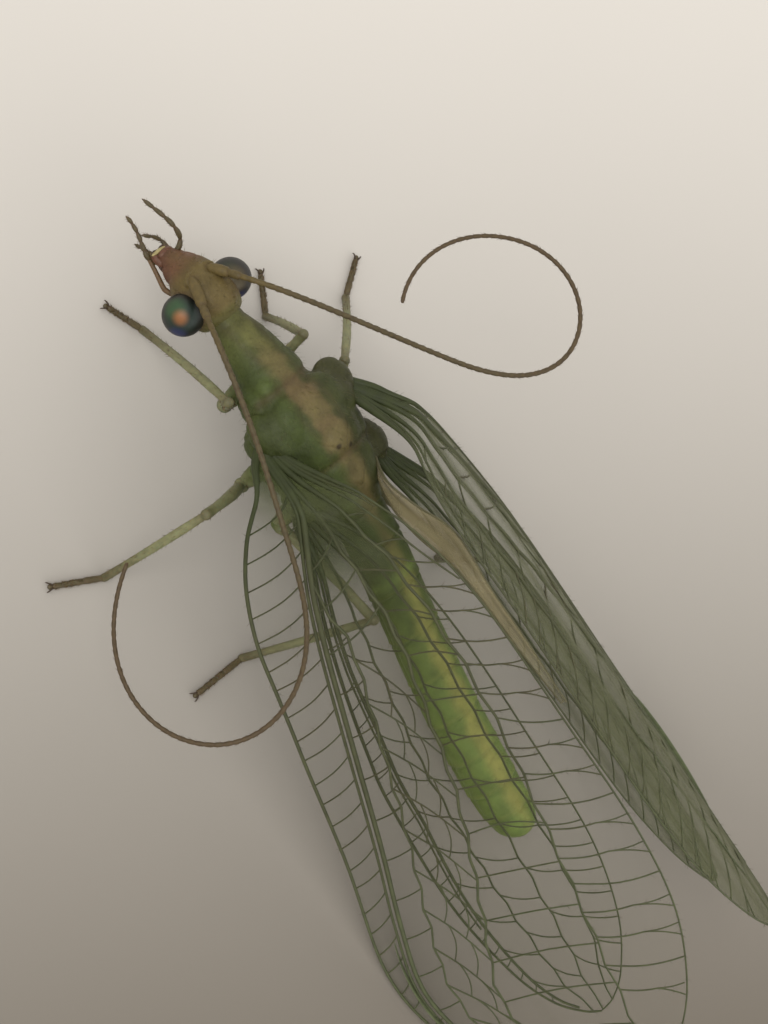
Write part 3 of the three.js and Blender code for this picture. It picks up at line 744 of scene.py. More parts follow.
# Head
HEAD_STATIONS = np.array([
    [0, -2.17, 0.28, 2.25, 1.74],
    [0, -2.26, 0.37, 2.3, 1.67],
    [0, -2.42, 0.45, 2.35, 1.58],
    [0, -2.62, 0.49, 2.37, 1.51],
    [0, -2.84, 0.44, 2.31, 1.47],
    [-0.03, -3.02, 0.36, 2.22, 1.48],
    [-0.06, -3.17, 0.275, 2.07, 1.46],
    [-0.06, -3.32, 0.205, 1.85, 1.43],
    [-0.04, -3.44, 0.15, 1.7, 1.43],
    [-0.03, -3.5, 0.12, 1.65, 1.46],
])


FEELER_SOCKETS = {side: mirrored((0.165, -2.96, 2.22), side) for _, side in SIDES}


def socket_distance(points, side):
    return np.linalg.norm(points - (FEELER_SOCKETS[side] + [0, -0.01, 0.04]), axis=1)


def eye_rim(side, count=40):
    """The path of the raised rim round an eye."""
    axis = unit([side, -0.12, 0.12])
    across = unit(np.cross(axis, [0.2, 0.9, 0.4]))
    other = np.cross(axis, across)
    turn = np.linspace(0, 2 * np.pi, count)[:, None]
    rim = EYE_RADIUS * 0.9 * (np.cos(turn) * across + np.sin(turn) * other)
    return mirrored(EYE_CENTRE, side) - axis * 0.15 + rim


def head_skin():
    rough = Shape()
    hull(rough, along(through(HEAD_STATIONS), 60).T, (0.03, -0.03))
    ellipsoid(rough, (0, -2.52, 2.24), (0.3, 0.3, 0.15))
    ellipsoid(rough, (-0.05, -3.12, 1.95), (0.2, 0.22, 0.12), axis=(0, -0.6, 0.8))
    for _, side in SIDES:
        ellipsoid(rough, (0.14 * side - 0.05, -3.1, 1.62), (0.14, 0.24, 0.15))
        ellipsoid(rough, (0.28 * side, -2.36, 1.95), (0.15, 0.2, 0.25))
        ellipsoid(rough, FEELER_SOCKETS[side] + [0, 0.02, -0.06], (0.14, 0.13, 0.08))
        tube(rough, eye_rim(side), 0.04)
    points, normals, quads = fused(rough, HEAD_VOXEL, 5)
    x, y, z = points.T
    off = np.abs(x + 0.03)
    snout_edge = bell(off, 0.15 + 0.2 * (y + 3.4), 0.022)
    relief = -0.008 * bell(y, -3.32, 0.022) * ramp(z, 1.6, 0.1)
    relief -= 0.007 * bell(y, -3.12 - 0.25 * off, 0.022) * ramp(z, 1.75, 0.1)
    relief -= 0.005 * bell(off, 0.0, 0.02) * ramp(y, -2.8, 0.1) * ramp(z, 2.1, 0.1)
    relief -= 0.008 * snout_edge * fall(y, -3.06, 0.08) * ramp(z, 1.62, 0.1)
    for _, side in SIDES:
        distance = socket_distance(points, side)
        relief += 0.006 * bell(distance, 0.13, 0.025) - 0.012 * fall(distance, 0.1, 0.05)
    points = points + normals * relief[:, None]
    skin_piece("head_skin", points, quads, head_colour(points), ("head",))
    return points, normals


def head_colour(points):
    x, y, z = points.T
    off = np.abs(x)
    snout = smooth((-3.02 - y + 0.3 * (2.1 - z)) / 0.3)
    ridge = bell(x, -0.02, 0.12) * ramp(z, 1.6, 0.15)
    colour = washed(
        OLIVE,
        (TAN, 0.4 * bell(off, 0.0, 0.16) * ramp(y, -3.0, 0.4)),
        (OLIVE * 1.15, 0.4 * bell(off, 0.2, 0.08) * ramp(y, -2.9, 0.3)),
        (RED_BROWN, snout * (0.85 - 0.35 * ridge)),
        (RED_BROWN * 0.85, 0.8 * fall(z, 1.8, 0.22) * fall(y, -2.62, 0.25)),
        (GREEN * 1.2, 0.45 * ramp(y, -2.42, 0.2)),
        (BROWN, 0.3 * bell(y, -2.24, 0.05)),
    )
    for _, side in SIDES:
        near = np.linalg.norm(points - mirrored(EYE_CENTRE, side), axis=1)
        socket = socket_distance(points, side)
        colour = washed(
            colour,
            (BROWN, 0.5 * bell(near, EYE_RADIUS + 0.01, 0.03)),
            (TAN * 1.1, 0.2 * bell(socket, 0.14, 0.03)),
            (BROWN, 0.3 * fall(socket, 0.1, 0.04)),
        )
    return colour


def head_hairs(points, normals):
    chosen = np.flatnonzero(random.random(len(points)) < 0.006)
    forward = np.array([0, -0.3, 0.3]) + random.normal(0, 0.25, (len(chosen), 3))
    roots = points[chosen]
    places = unwrapped((roots[:, 1] + 3.6) / 1.5, np.arctan2(roots[:, 2] - 1.85, roots[:, 0]))
    shape = Shape()
    hairs(shape, roots, normals[chosen] + forward, random.uniform(0.05, 0.12, len(chosen)),
          SETA_WIDTHS["head"], colour=TAN * 1.3, places=places)
    place_piece("head_setae", shape, "hair", unwrap=True)


def sphere_facets(level):
    """Corners and triangles of a sphere split evenly."""
    golden = (1 + 5**0.5) / 2
    corners = [(a, b * golden, 0) for b in (1, -1) for a in (-1, 1)]
    corners += [(0, a, b * golden) for b in (1, -1) for a in (-1, 1)]
    corners += [(b * golden, 0, a) for b in (1, -1) for a in (-1, 1)]
    points = [unit(corner) for corner in corners]
    faces = []
    distance = lambda a, b: np.linalg.norm(points[a] - points[b])
    edge = min(distance(0, b) for b in range(1, 12)) * 1.01
    for a, b, c in combinations(range(12), 3):
        if max(distance(a, b), distance(b, c), distance(a, c)) < edge:
            outward = np.cross(points[b] - points[a], points[c] - points[a]) @ points[a] > 0
            faces.append((a, b, c) if outward else (a, c, b))
    for _ in range(level):
        middles = {}
        split = []

        def middle(a, b):
            key = (min(a, b), max(a, b))
            if key not in middles:
                middles[key] = len(points)
                points.append(unit(points[a] + points[b]))
            return middles[key]

        for a, b, c in faces:
            ab, bc, ca = middle(a, b), middle(b, c), middle(c, a)
            split += [(a, ab, ca), (ab, b, bc), (ca, bc, c), (ab, bc, ca)]
        faces = split
    return np.array(points), np.array(faces)


EYE_POINTS, EYE_FACES = sphere_facets(4)


def eye(word, side):
    """A compound eye: a domed lens over each corner of the split sphere, with a groove between lenses."""
    centroids = unit(EYE_POINTS[EYE_FACES].mean(axis=1))
    count = len(EYE_POINTS)
    edges = {}
    for number, face in enumerate(EYE_FACES):
        for a, b in zip(face, np.roll(face, -1)):
            edges.setdefault((min(a, b), max(a, b)), []).append((number, a < b))
    triangles = []
    for (a, b), pair in edges.items():
        first = [n for n, ahead in pair if ahead][0] + count
        second = [n for n, ahead in pair if not ahead][0] + count
        triangles += [(a, second, first), (b, first, second)]
    directions = np.vstack([EYE_POINTS, centroids])
    radii = np.concatenate([np.full(count, EYE_RADIUS), np.full(len(centroids), EYE_RADIUS - LENS_GROOVE)])
    x, y, z = directions.T
    colour = eye_colour(np.stack([x * side, y, z], axis=1), side)
    # Painted shade: the grooves between the lenses are darker.
    colour[count:] *= 0.7
    shape = Shape()
    shape.add(mirrored(EYE_CENTRE, side) + directions * radii[:, None], triangles=triangles, colour=colour)
    place_piece(f"eye_{word}_lens", shape, "eye", (f"eye_{word}",))


# Eye colours. The bright spot and its halo are a painted reflection, fixed on the side of each eye that faces
# the camera; the blue below is a painted fringe of light.
EYE_DARK = (0.014, 0.013, 0.01)
EYE_GREEN = (0.04, 0.1, 0.032)
EYE_BLUE = (0.022, 0.03, 0.13)
EYE_LOOKS = {
    1: dict(spot=(0.62, -0.09, 0.78), patch=(0.5, -0.6, 0.62), below=(0.85, 0.5, 0.12), green=0.8,
            reflection_halo=(0.018, 0.036, 0.026), painted_reflection=(0.36, 0.13, 0.03), reach=0.54, strength=0.92),
    -1: dict(spot=(-0.4, 0.0, 0.9), patch=(-0.3, -0.5, 0.8), below=(-0.35, 0.85, 0.3), green=0.2,
             reflection_halo=(0.04, 0.028, 0.018), painted_reflection=(0.105, 0.08, 0.035), reach=0.9, strength=0.9),
}


def eye_colour(directions, side):
    """Near black, with a painted reflection on the upper face: a soft bright spot in a dim patch, some green
    beside it, and a painted blue fringe below.
    """
    look = EYE_LOOKS[side]
    spot, beside, below = (
        np.arccos(np.clip(directions @ unit(look[part]), -1, 1)) for part in ("spot", "patch", "below")
    )
    return washed(
        EYE_DARK,
        (look["reflection_halo"], fall(spot, 1.2, 0.7) * look["strength"]),
        (EYE_GREEN, look["green"] * fall(beside, 0.8, 0.6)),
        (EYE_BLUE, 0.8 * fall(below, 0.6, 0.45)),
        (look["painted_reflection"], look["strength"] * fall(spot, look["reach"], 0.5)),
    )


# Mouthparts
MANDIBLE = [(0.1, -3.36, 1.54), (0.12, -3.46, 1.52), (0.08, -3.53, 1.5), (0.02, -3.56, 1.5)]
MAXILLA = [(0.22, -2.84, 1.54), (0.262, -2.97, 1.48), (0.262, -3.056, 1.45), (0.209, -3.33, 1.44),
           (0.184, -3.568, 1.45)]
GALEA = [(0.15, -3.42, 1.43), (0.14, -3.5, 1.42), (0.1, -3.56, 1.44)]
MOUTH_PLATES = [
    ((-0.03, -3.46, 1.6), (0.14, 0.07, 0.07), 16, 24, RED_BROWN),
    ((0.02, -3.53, 1.53), (0.14, 0.035, 0.06), 14, 20, LABRUM_PALE),
    ((0, -3.3, 1.42), (0.12, 0.2, 0.05), 12, 18, RED_BROWN),
    ((0, -3.48, 1.42), (0.1, 0.08, 0.04), 12, 18, TAN),
]


def mouthparts():
    shape = Shape()
    for *form, colour in MOUTH_PLATES:
        ellipsoid(shape, *form, colour=colour)
    for _, side in SIDES:
        mandible, maxilla, galea = (through(mirrored(path, side)) for path in (MANDIBLE, MAXILLA, GALEA))
        shade = blend(RED_BROWN, BLACK_BROWN, smooth(np.linspace(-0.6, 1.2, len(mandible))))
        widths = widths_along(mandible, [0, 0.4, 0.8, 1], [0.07, 0.065, 0.04, 0.01])
        tube(shape, mandible, widths, 12, colour=shade)
        widths = widths_along(maxilla, [0, 0.3, 0.8, 1], [0.04, 0.045, 0.035, 0.028])
        tube(shape, maxilla, widths, 10, colour=blend(RED_BROWN, TAN, 0.45))
        tube(shape, galea, np.linspace(0.035, 0.016, len(galea)), 9, colour=TAN)
    place_piece("mouth", shape, "mouth", ("mouthparts",))


# Palps, as points, number of joints and radius
PALPS = {
    "maxillary_left": ([(0.19, -3.5, 1.45), (0.19, -3.6, 1.46), (0.141, -3.775, 1.46), (0.1, -3.929, 1.46),
                        (0.077, -4.112, 1.45), (0.088, -4.227, 1.44)], 5, 0.042),
    "maxillary_right": ([(-0.16, -3.39, 1.62), (-0.247, -3.42, 1.67), (-0.31, -3.537, 1.74),
                         (-0.293, -3.733, 1.8), (-0.28, -3.92, 1.74), (-0.254, -4.12, 1.66),
                         (-0.21, -4.3, 1.62)], 5, 0.046),
    "labial_left": ([(0.06, -3.5, 1.4), (0.07, -3.6, 1.33), (0.09, -3.7, 1.25), (0.1, -3.8, 1.17)], 3, 0.036),
    "labial_right": ([(-0.1, -3.48, 1.44), (-0.17, -3.57, 1.46), (-0.11, -3.71, 1.46), (0.017, -3.809, 1.5),
                      (0.09, -3.874, 1.5)], 3, 0.038),
}


def palp(name, points, joints, radius):
    path = along(through(points, 12), joints * 9 + 1)
    share = np.linspace(0, joints, len(path))
    within = share % 1
    widths = radius * (0.62 + 0.42 * np.sin(np.pi * within) ** 0.7) * (1 - 0.3 * share / joints)
    widths[-4:] *= [0.9, 0.75, 0.55, 0.35]
    shade = blend(FEELER_TAN, BROWN, 0.75 * (bell(within, 0, 0.12) + bell(within, 1, 0.12)))
    shape = Shape()
    tube(shape, path, widths, 12, colour=shade)
    at = random.integers(2, len(path) - 2, 70)
    hairs(shape, *bristles(path, widths, at, 0.9, 1, 1.2), 0.05, SETA_WIDTHS["palp"], colour=BROWN)
    place_piece(f"{name}_palp", shape, "mouth", (f"palp_{name}",))


# Feelers: the whip lies in a plane and its turning follows its length.
TURNING_SHARES = (0, 0.2, 0.35, 0.45, 0.55, 0.65, 0.8, 1)
SCAPE_REACH = 0.3
PEDICEL_REACH = 0.5
RING_STEPS = 5
RING_SETAE = 9


def rise(s, reach):
    """From 0 to 1 over the reach, steepest at the start."""
    return np.sin(np.clip(s / reach, 0, 1) * np.pi / 2)


FEELERS = {
    "left": dict(
        root=(0.149, -2.816, 2.047), across=(-0.66, 0.55, 0.511), up=(0.456, -0.247, 0.855), heading=66.3,
        turning=(0, 0.066, -0.021, 0.338, 0.606, 0.816, 0.636, 0.301), length=11.32,
        lift=lambda s: 0.12 + 0.78 * rise(s, 1.1) - 0.63 * ramp(s, 3.6, 3.7),
    ),
    "right": dict(
        root=(-0.287, -2.918, 2.014), across=(-0.979, -0.033, 0.2), up=(0.202, -0.16, 0.966), heading=51.3,
        turning=(0.127, 0.017, -0.026, -0.462, -1.111, -0.943, -0.526, -0.846), length=10.76,
        lift=lambda s: 0.08 + 0.5 * rise(s, 0.8) - 0.58 * ramp(s, 1.2, 3),
    ),
}


def whip_path(root, across, up, heading, turning, length, lift, steps=600):
    across, up = np.array(across), np.array(up)
    ahead = unit(np.cross(across, up))
    step = length / steps
    s = np.arange(steps + 1) * step
    turn = np.interp(s / length, TURNING_SHARES, turning) * step
    angle = np.radians(heading) + np.concatenate([[0], np.cumsum(turn[:-1])])
    moves = (np.cos(angle)[:, None] * across + np.sin(angle)[:, None] * ahead) * step
    flat = np.array(root) + np.vstack([np.zeros(3), np.cumsum(moves[1:], axis=0)])
    return flat + unit(np.array(CAMERA_PLACE) - flat) * lift(s)[:, None]


def feeler(word, side):
    """A stout scape and pedicel on the brow, then a whip of short rings with fine setae."""
    settings = FEELERS[word]
    whip = whip_path(**settings)
    at = lambda s: whip[int(s / settings["length"] * (len(whip) - 1))]
    socket = FEELER_SOCKETS[side]
    shape = Shape()
    scape = through([socket - [0, 0, 0.06], socket * 0.5 + at(SCAPE_REACH) * 0.5, at(SCAPE_REACH)], 10)
    share = np.linspace(0, 1, len(scape))
    swell = widths_along(scape, [0, 0.2, 0.6, 0.9, 1], [0.07, 0.088, 0.09, 0.082, 0.062])
    tube(shape, scape, swell, 16, colour=blend(OLIVE * 1.05, BROWN, 0.4 * bell(share, 1.0, 0.06)))
    pedicel = through([at(SCAPE_REACH), at((SCAPE_REACH + PEDICEL_REACH) / 2), at(PEDICEL_REACH)])
    share = np.linspace(0, 1, len(pedicel))
    swell = widths_along(pedicel, [0, 0.3, 0.8, 1], [0.052, 0.065, 0.062, 0.046])
    shade = washed(OLIVE, (FEELER_TAN, 0.3), (BROWN, 0.4 * bell(share, 1.0, 0.12)))
    tube(shape, pedicel, swell, 12, colour=shade)
    joints = int(settings["length"] / FEELER_RING)
    path = along(whip, joints * RING_STEPS + 1)
    first = int(PEDICEL_REACH / FEELER_RING * RING_STEPS)
    share = np.arange(len(path)) / RING_STEPS
    within = share % 1
    profile = np.interp(within, [0, 0.15, 0.5, 0.85, 1], [0.86, 1.0, 1.06, 1.02, 0.86])
    widths = FEELER_RADIUS * (1 - 0.3 * share / joints) * profile
    shade = washed(
        FEELER_TAN,
        (BROWN, 0.5 * (within < 0.1) + 0.12 * np.sin(share * 1.7) ** 2),
        (OLIVE, 1 - ramp(share * FEELER_RING, 0.4, 1.4)),
        (BROWN * 1.1, 0.5 * ramp(share / joints, 0.35, 0.3)),
    )
    tube(shape, path[first:], widths[first:], 10, colour=shade[first:])
    count = joints * RING_SETAE
    at = np.repeat(np.arange(joints), RING_SETAE) * RING_STEPS + random.integers(1, RING_STEPS, count)
    at = at.clip(first, len(path) - 2)
    hairs(shape, *bristles(path, widths, at, 0.85, 0.6, 1), random.uniform(0.04, 0.07, count),
          SETA_WIDTHS["feeler"], colour=BROWN)
    nodes = [f"antenna_{word}_{part}" for part in ("scape", "base", "middle", "tip")]
    place_piece(f"feeler_{word}", shape, "feeler", nodes)


# Legs
LEGS = {
    "front": dict(left=((0.92, -1.23, 2.34), (0.3, -2.58), (0.6, -3.27)),
                  right=((-0.95, -1.25, 2.02), (-1.65, -1.52), (-2.07, -2.2))),
    "middle": dict(left=((2.02, -0.04, 1.8), (3.25, 0.06), (4.09, -0.4)),
                   right=((-1.45, -0.47, 1.75), (-3.1, -0.93), (-3.76, -1.37))),
    "hind": dict(left=((0.9, 2.86, 2.1), (2.2, 2.49), (3.26, 2.43)),
                 right=((-0.9, 2.86, 2.1), (-1.75, 3.5), (-2.45, 4.1))),
}
FOOT_SHARES = (0, 0.4, 0.57, 0.71, 0.83, 1)
CLAW_REACH = 0.13
# A claw's bends, as how far ahead, aside and up from the toe
CLAW_BENDS = ((0.06, 0.04, 0.03), (0.11, 0.07, 0.01), (0.12, 0.075, -0.025))


def bowed(start, end, bow=0.0):
    """A path that bows a little upward between two joints."""
    t = np.linspace(0, 1, 24)[:, None]
    return start + (end - start) * t + np.array([0, 0, bow]) * np.sin(np.pi * t)


def leg(pair, word, side):
    knee, heel, toe = (np.array(p, float) for p in LEGS[pair][word])
    hip, thigh = mirrored(HIPS[pair], side), mirrored(THIGHS[pair], side)
    heel = np.array([*heel, TARSUS_RADIUS + 0.015])
    toe = np.array([*toe, TARSUS_RADIUS * 0.75 + 0.02])
    toe = toe - unit(toe - heel) * CLAW_REACH
    shape = Shape()
    setae = []

    def part(path, widths, shade, count, length=0.1, sides=14):
        path = along(np.asarray(path), 26)
        radii = widths_along(path, np.linspace(0, 1, len(widths)), widths)
        tube(shape, path, radii, sides, colour=np.array([shade(t) for t in np.linspace(0, 1, len(path))]))
        at = random.integers(1, len(path) - 1, count)
        setae.append((*bristles(path, radii, at, 0.9, 0.75, 1), random.uniform(0.6, 1.15, count) * length))

    knee_brown = blend(GREEN, BROWN, 0.5)
    coxa_shade = lambda t: blend(GREEN * 1.1, LEG_GREEN, t)
    femur_shade = lambda t: blend(LEG_GREEN, knee_brown, 0.55 * ramp(t, 0.8, 0.2))
    knee_shade = lambda t: blend(LEG_GREEN, BROWN, 0.45 * bell(t, 0, 0.1))
    tibia_shade = lambda t: blend(knee_shade(t), FEELER_TAN, 0.75 * ramp(t, 0.5, 0.5))
    tarsus_shade = lambda t: blend(FEELER_TAN * 1.1, BROWN, 0.35 * ramp(t, 0.8, 0.2))
    upward = unit(knee - thigh)
    part(bowed(hip + [0, 0, 0.12], thigh), [0.14, 0.16, 0.14, 0.1], coxa_shade, 20, 0.09)
    part([thigh - [0, 0, 0.02], thigh + upward * 0.16], [0.11, 0.125, 0.1], coxa_shade, 8)
    widths = [0.075, FEMUR_RADIUS, FEMUR_RADIUS * 1.02, FEMUR_RADIUS * 0.9, 0.075, 0.085]
    part(bowed(thigh + upward * 0.1, knee, 0.08), widths, femur_shade, 70, 0.07)
    ellipsoid(shape, knee, (0.088, 0.088, 0.088), 12, 16, colour=blend(LEG_GREEN, BROWN, 0.5))
    widths = [0.06, 0.072, TIBIA_RADIUS, TIBIA_RADIUS * 0.95, 0.062, 0.068]
    part(bowed(knee, heel, 0.06), widths, tibia_shade, 90, 0.07)
    for k in (1, -1):
        spur = unit(toe - heel) + [0.25 * k, 0, -0.15]
        hairs(shape, [heel + [0.03 * k, 0, 0]], spur, 0.16, 0.012, colour=BROWN)
    foot = lambda share: heel + (toe - heel) * share
    for a, b in zip(FOOT_SHARES, FOOT_SHARES[1:]):
        widths = TARSUS_RADIUS * (1 - 0.12 * a) * np.array([0.8, 0.92, 0.97, 0.95])
        part([foot(a + 0.006), foot(b - 0.004)], widths, tarsus_shade, 26, 0.05, 12)
    roots, directions, lengths = (np.concatenate(column) for column in zip(*setae))
    shade = blend(BROWN, TAN, random.random(len(roots)) * 0.5)
    hairs(shape, roots, directions, lengths, SETA_WIDTHS["leg"], colour=shade)
    place_piece(f"{pair}_leg_{word}", shape, "leg", (f"leg_{pair}_{word}",))
    claws(pair, word, toe, unit(toe - heel))


def claws(pair, word, toe, ahead):
    """Two curved claws and the soft pad between them."""
    shape = Shape()
    across = unit(np.cross([0, 0, 1], ahead))
    for k in (1, -1):
        bends = [toe + ahead * out + across * aside * k + [0, 0, up] for out, aside, up in CLAW_BENDS]
        path = through([toe, *bends], 6)
        tube(shape, path, np.linspace(0.02, 0.005, len(path)), 8, colour=blend(BROWN, BLACK_BROWN, 0.6))
    ellipsoid(shape, toe + ahead * 0.06, (0.045, 0.03, 0.05), 10, 14, axis=ahead, colour=FEELER_TAN)
    place_piece(f"claws_{pair}_{word}", shape, "claw")


# Wings: two pitched roof planes that meet over the back. A place is y and the distance w down the roof.
HALF_FILMS = (-MEMBRANE_THICKNESS / 2, MEMBRANE_THICKNESS / 2)
ROOT_REACH = 1.4
ROOT_STOUTNESS = 0.045
FILM_ROWS = 150
FILM_COLUMNS = 44
FOLD_ROWS = 60
FOLD_COLUMNS = 9
SPOT_START = 7.6
SPOT_END = 10.2
ROOF_FOOT = 3.4
ROOF_CREST = 3.62
ROOF_START = 1.2
ROOF_REACH = 2.6
LOWEST = 0.06


def roof_point(y, w, lift, side):
    pitch = np.radians(ROOF_PITCH)
    crest = ROOF_FOOT + (ROOF_CREST - ROOF_FOOT) * smooth((y - ROOF_START) / ROOF_REACH)
    share = np.clip(w / ROOF_WIDTH, 0, 1)
    out = (lift + WING_CAMBER * 4 * share * (1 - share)) / np.cos(pitch)
    points = np.stack([ROOF_HALF_GAP + w * np.cos(pitch), y, crest - w * np.sin(pitch) + out], axis=-1)
    points[..., 2] = np.maximum(points[..., 2], LOWEST)
    return mirrored(points, side)


FOREWING_HIND = [
    (-0.42, 0.95), (0, 0.92), (0.5, 0.8), (0.9, 0.64), (1.8, 0.26), (3, 0.1), (5.5, 0.08), (7.5, 0.1),
    (9, 0.35), (10.2, 0.95), (10.95, 1.6), (11.28, 2.15), (11.36, 2.5),
]
FOREWING_BASE = {
    "left": [(-0.42, 1.05), (-0.25, 1.6), (0, 2.03), (0.34, 2.43), (0.67, 2.72), (1.23, 3.06), (2.08, 3.41)],
    "right": [(-0.42, 1.12), (-0.05, 1.5), (0.3, 1.7), (1.08, 2.38), (2.09, 3.15)],
}
FOREWING_FRONT = [
    (2.9, 3.63), (4.1, 3.91), (6, 4.3), (8, 4.8), (9.3, 4.75), (10.2, 4.35), (10.9, 3.6), (11.25, 2.95),
    (11.37, 2.55),
]
FOREWING_RADIUS = [
    (-0.42, 1.04), (0.19, 1.42), (0.8, 1.78), (1.39, 2.11), (1.9, 2.37), (2.62, 2.68), (3.41, 2.97),
    (4.38, 3.27), (6, 3.75), (7.4, 4.2), (8.6, 4.5), (9.6, 4.42), (10.3, 4.12), (10.9, 3.5),
]
FOREWING_MEDIA = [
    (-0.4, 1.01), (0.05, 1.27), (0.6, 1.46), (1.4, 1.5), (2.66, 1.6), (4, 1.95), (5.61, 2.38), (7.6, 3.08),
    (9.2, 3.62), (10.2, 3.5), (10.9, 3.0),
]
FOREWING_CUBITUS = [
    (-0.4, 0.99), (0.05, 1.12), (0.45, 1.17), (1.0, 1.1), (2.0, 0.94), (3.6, 1.0), (4.97, 1.13), (6.74, 1.46),
    (9.21, 1.95), (10.3, 2.15), (11.0, 2.2),
]
FOREWING_ANALS = (
    [(-0.4, 0.97), (0.1, 1.02), (0.45, 0.98), (0.9, 0.85), (1.5, 0.6), (2.1, 0.4), (2.7, 0.16)],
    [(-0.4, 0.96), (0.2, 0.95), (0.7, 0.8), (1.1, 0.6)],
)
HINDWING_HIND = [
    (0.7, 0.93), (1, 0.8), (1.3, 0.66), (1.9, 0.48), (2.6, 0.34), (4, 0.3), (5.5, 0.34), (7.5, 0.45),
    (8.9, 0.85), (9.8, 1.4), (10.2, 1.82), (10.32, 2.1),
]
HINDWING_FRONT = [
    (0.7, 1.02), (1, 1.3), (1.3, 1.5), (1.9, 1.85), (2.6, 2.2), (3.5, 2.55), (4.6, 2.85), (5.5, 3.03),
    (7.5, 3.18), (9, 3.02), (9.8, 2.75), (10.2, 2.4), (10.33, 2.15),
]
# The hindwing's radius lies this far behind the front edge, as y and distance
HINDWING_SPACE = np.array([
    [0.72, 0.02], [1.4, 0.14], [3.2, 0.2], [4.4, 0.3], [6.0, 0.34], [7.6, 0.24], [10.1, 0.08],
])
# The hindwing's long veins, as share of the wing at the root and the tip, turns and end
HINDWING_LINES = (
    (0.7, 0.72, 22, (10.28, 2.26)),
    (0.44, 0.5, 20, (10.32, 2.1)),
    (0.22, 0.28, 18, (10.22, 1.86)),
)


class WingPlan:
    """A wing's outline and veins as paths of (y, w)."""

    def __init__(self, hind, front, lift, settles, joint, root_sink):
        self.hind = through(hind, 10)
        self.front = through(front, 10)
        self.lift, self.settles, self.root_sink = lift, settles, root_sink
        self.joint = np.array(joint)
        self.veins = []

    def from_joint(self, flat):
        return np.linalg.norm(flat - self.joint, axis=-1)

    def front_at(self, y):
        return np.interp(y, self.front[:, 0], self.front[:, 1])

    def hind_at(self, y):
        return np.interp(y, self.hind[:, 0], self.hind[:, 1])

    def add(self, path, root_radius, tip_radius=None):
        self.veins.append((np.asarray(path, float), root_radius, tip_radius or root_radius))
        return self.veins[-1][0]

    def chain(self, line, start, stops, pull, end, *radii):
        """A vein along the line to the start, then to and fro across it through the stops, up to its end."""
        turns = np.array([at_y(line, y) for y in stops])
        turns[:, 1] += pull * (-1.0) ** np.arange(len(stops))
        return self.add(np.vstack([line[line[:, 0] < start], turns, end]), *radii)

    def cross(self, a, b, radius, bow=0.05):
        t = np.linspace(0, 1, 7)[:, None]
        sideways = np.array([b[1] - a[1], a[0] - b[0]]) * bow
        self.add(a + (b - a) * t + sideways * np.sin(np.pi * t), radius)

    def rungs(self, first, second, starts, shift, radius, bow=0.05):
        """Cross veins from the first path to the second, a little further out on it."""
        for start in starts:
            self.cross(at_y(first, start), at_y(second, start + shift), radius, bow)


def at_y(path, y):
    return np.array([y, np.interp(y, path[:, 0], path[:, 1])])


def forewing_plan(word):
    plan = WingPlan(FOREWING_HIND, FOREWING_BASE[word] + FOREWING_FRONT, FOREWING_LIFT, 1, (-0.42, 1.0), 0.68)
    plan.add(plan.front, 0.036, 0.02)
    plan.add(plan.hind, 0.02, 0.013)
    radius = plan.add(through(FOREWING_RADIUS), 0.05, 0.034)
    subcosta = plan.add((radius + [0, 0.09])[radius[:, 0] < 9.2], 0.03, 0.022)
    for start in np.arange(0.3, 9.0, 0.4):
        reach = 0.16 + 0.1 * random.random()
        plan.cross(at_y(subcosta, start), at_y(plan.front, start + reach), 0.0125, 0.06)
    plan.rungs(radius, plan.front, np.arange(9.2, 10.7, 0.2), 0.1, 0.011)
    # The sector leaves the radius and zigzags behind it, with a branch at each second turn
    sector_y = np.linspace(1.5, 10.8, 90)
    gap = 0.4 * ramp(sector_y, 1.5, 1.4) * (1 - 0.5 * ramp(sector_y, 8.0, 3))
    sector_line = np.stack([sector_y, np.interp(sector_y, *radius.T) - gap], 1)
    sector_stops = np.linspace(1.5, 10.8, 27)
    sector = plan.chain(sector_line, 1.5, sector_stops, 0.028, (11.18, 3.08), 0.026, 0.014)
    plan.rungs(sector, radius, sector_stops[3:-1:2], 0.05, 0.0125)
    media_stops = np.linspace(1.4, 10.8, 26)
    media = plan.chain(through(FOREWING_MEDIA, 10), 1.3, media_stops, 0.03, (11.34, 2.65), 0.032, 0.018)
    cubitus_line = through(FOREWING_CUBITUS, 10)
    cubitus_stops = np.linspace(1.35, 10.8, 20)
    cubitus = plan.chain(cubitus_line, 1.3, cubitus_stops, 0.035, (11.28, 2.15), 0.028, 0.015)
    anal = plan.add(through(FOREWING_ANALS[0]), 0.024, 0.014)
    plan.add(through(FOREWING_ANALS[1]), 0.02, 0.013)
    # Branches between the sector and the media, with two series of steps across them
    branches = []
    for y0 in sector_stops[4:24:2]:
        start, end = at_y(sector, y0), at_y(media, min(y0 + 1.3, 10.7))
        middle = start * 0.55 + end * 0.45 + [0.0, -0.05]
        branches.append(plan.add(through([start, middle, end]), 0.015, 0.012))
    for share in (0.38, 0.7):
        for a, b in zip(branches, branches[1:]):
            plan.cross(a[int(share * (len(a) - 1))], b[int((share - 0.06) * (len(b) - 1))], 0.0115, 0.08)
    for start in media_stops[1:-2:2]:
        end = at_y(cubitus, start + 0.3 + 0.12 * random.random())
        plan.cross(at_y(media, start), end, 0.0135, 0.1 * random.random())
    plan.rungs(media, radius, (1.15, 1.75, 2.4), 0.3, 0.015)
    plan.rungs(cubitus, anal, (1.0, 1.6), 0.15, 0.014)
    # Rungs from the cubitus to the hind margin, many of them forked
    for n, start in enumerate(cubitus_stops[1:-2]):
        root = at_y(cubitus, start)
        foot = at_y(plan.hind, min(start + 0.5 + 0.1 * random.random(), 11.1))
        if n % 3 == 0:
            plan.cross(root, foot, 0.0135, -0.06)
            continue
        fork = root * 0.45 + foot * 0.55
        plan.cross(root, fork, 0.0135, -0.05)
        plan.cross(fork, foot - [0.09, 0], 0.0115, -0.04)
        plan.cross(fork, at_y(plan.hind, foot[0] + 0.12), 0.0115, 0.04)
    return plan


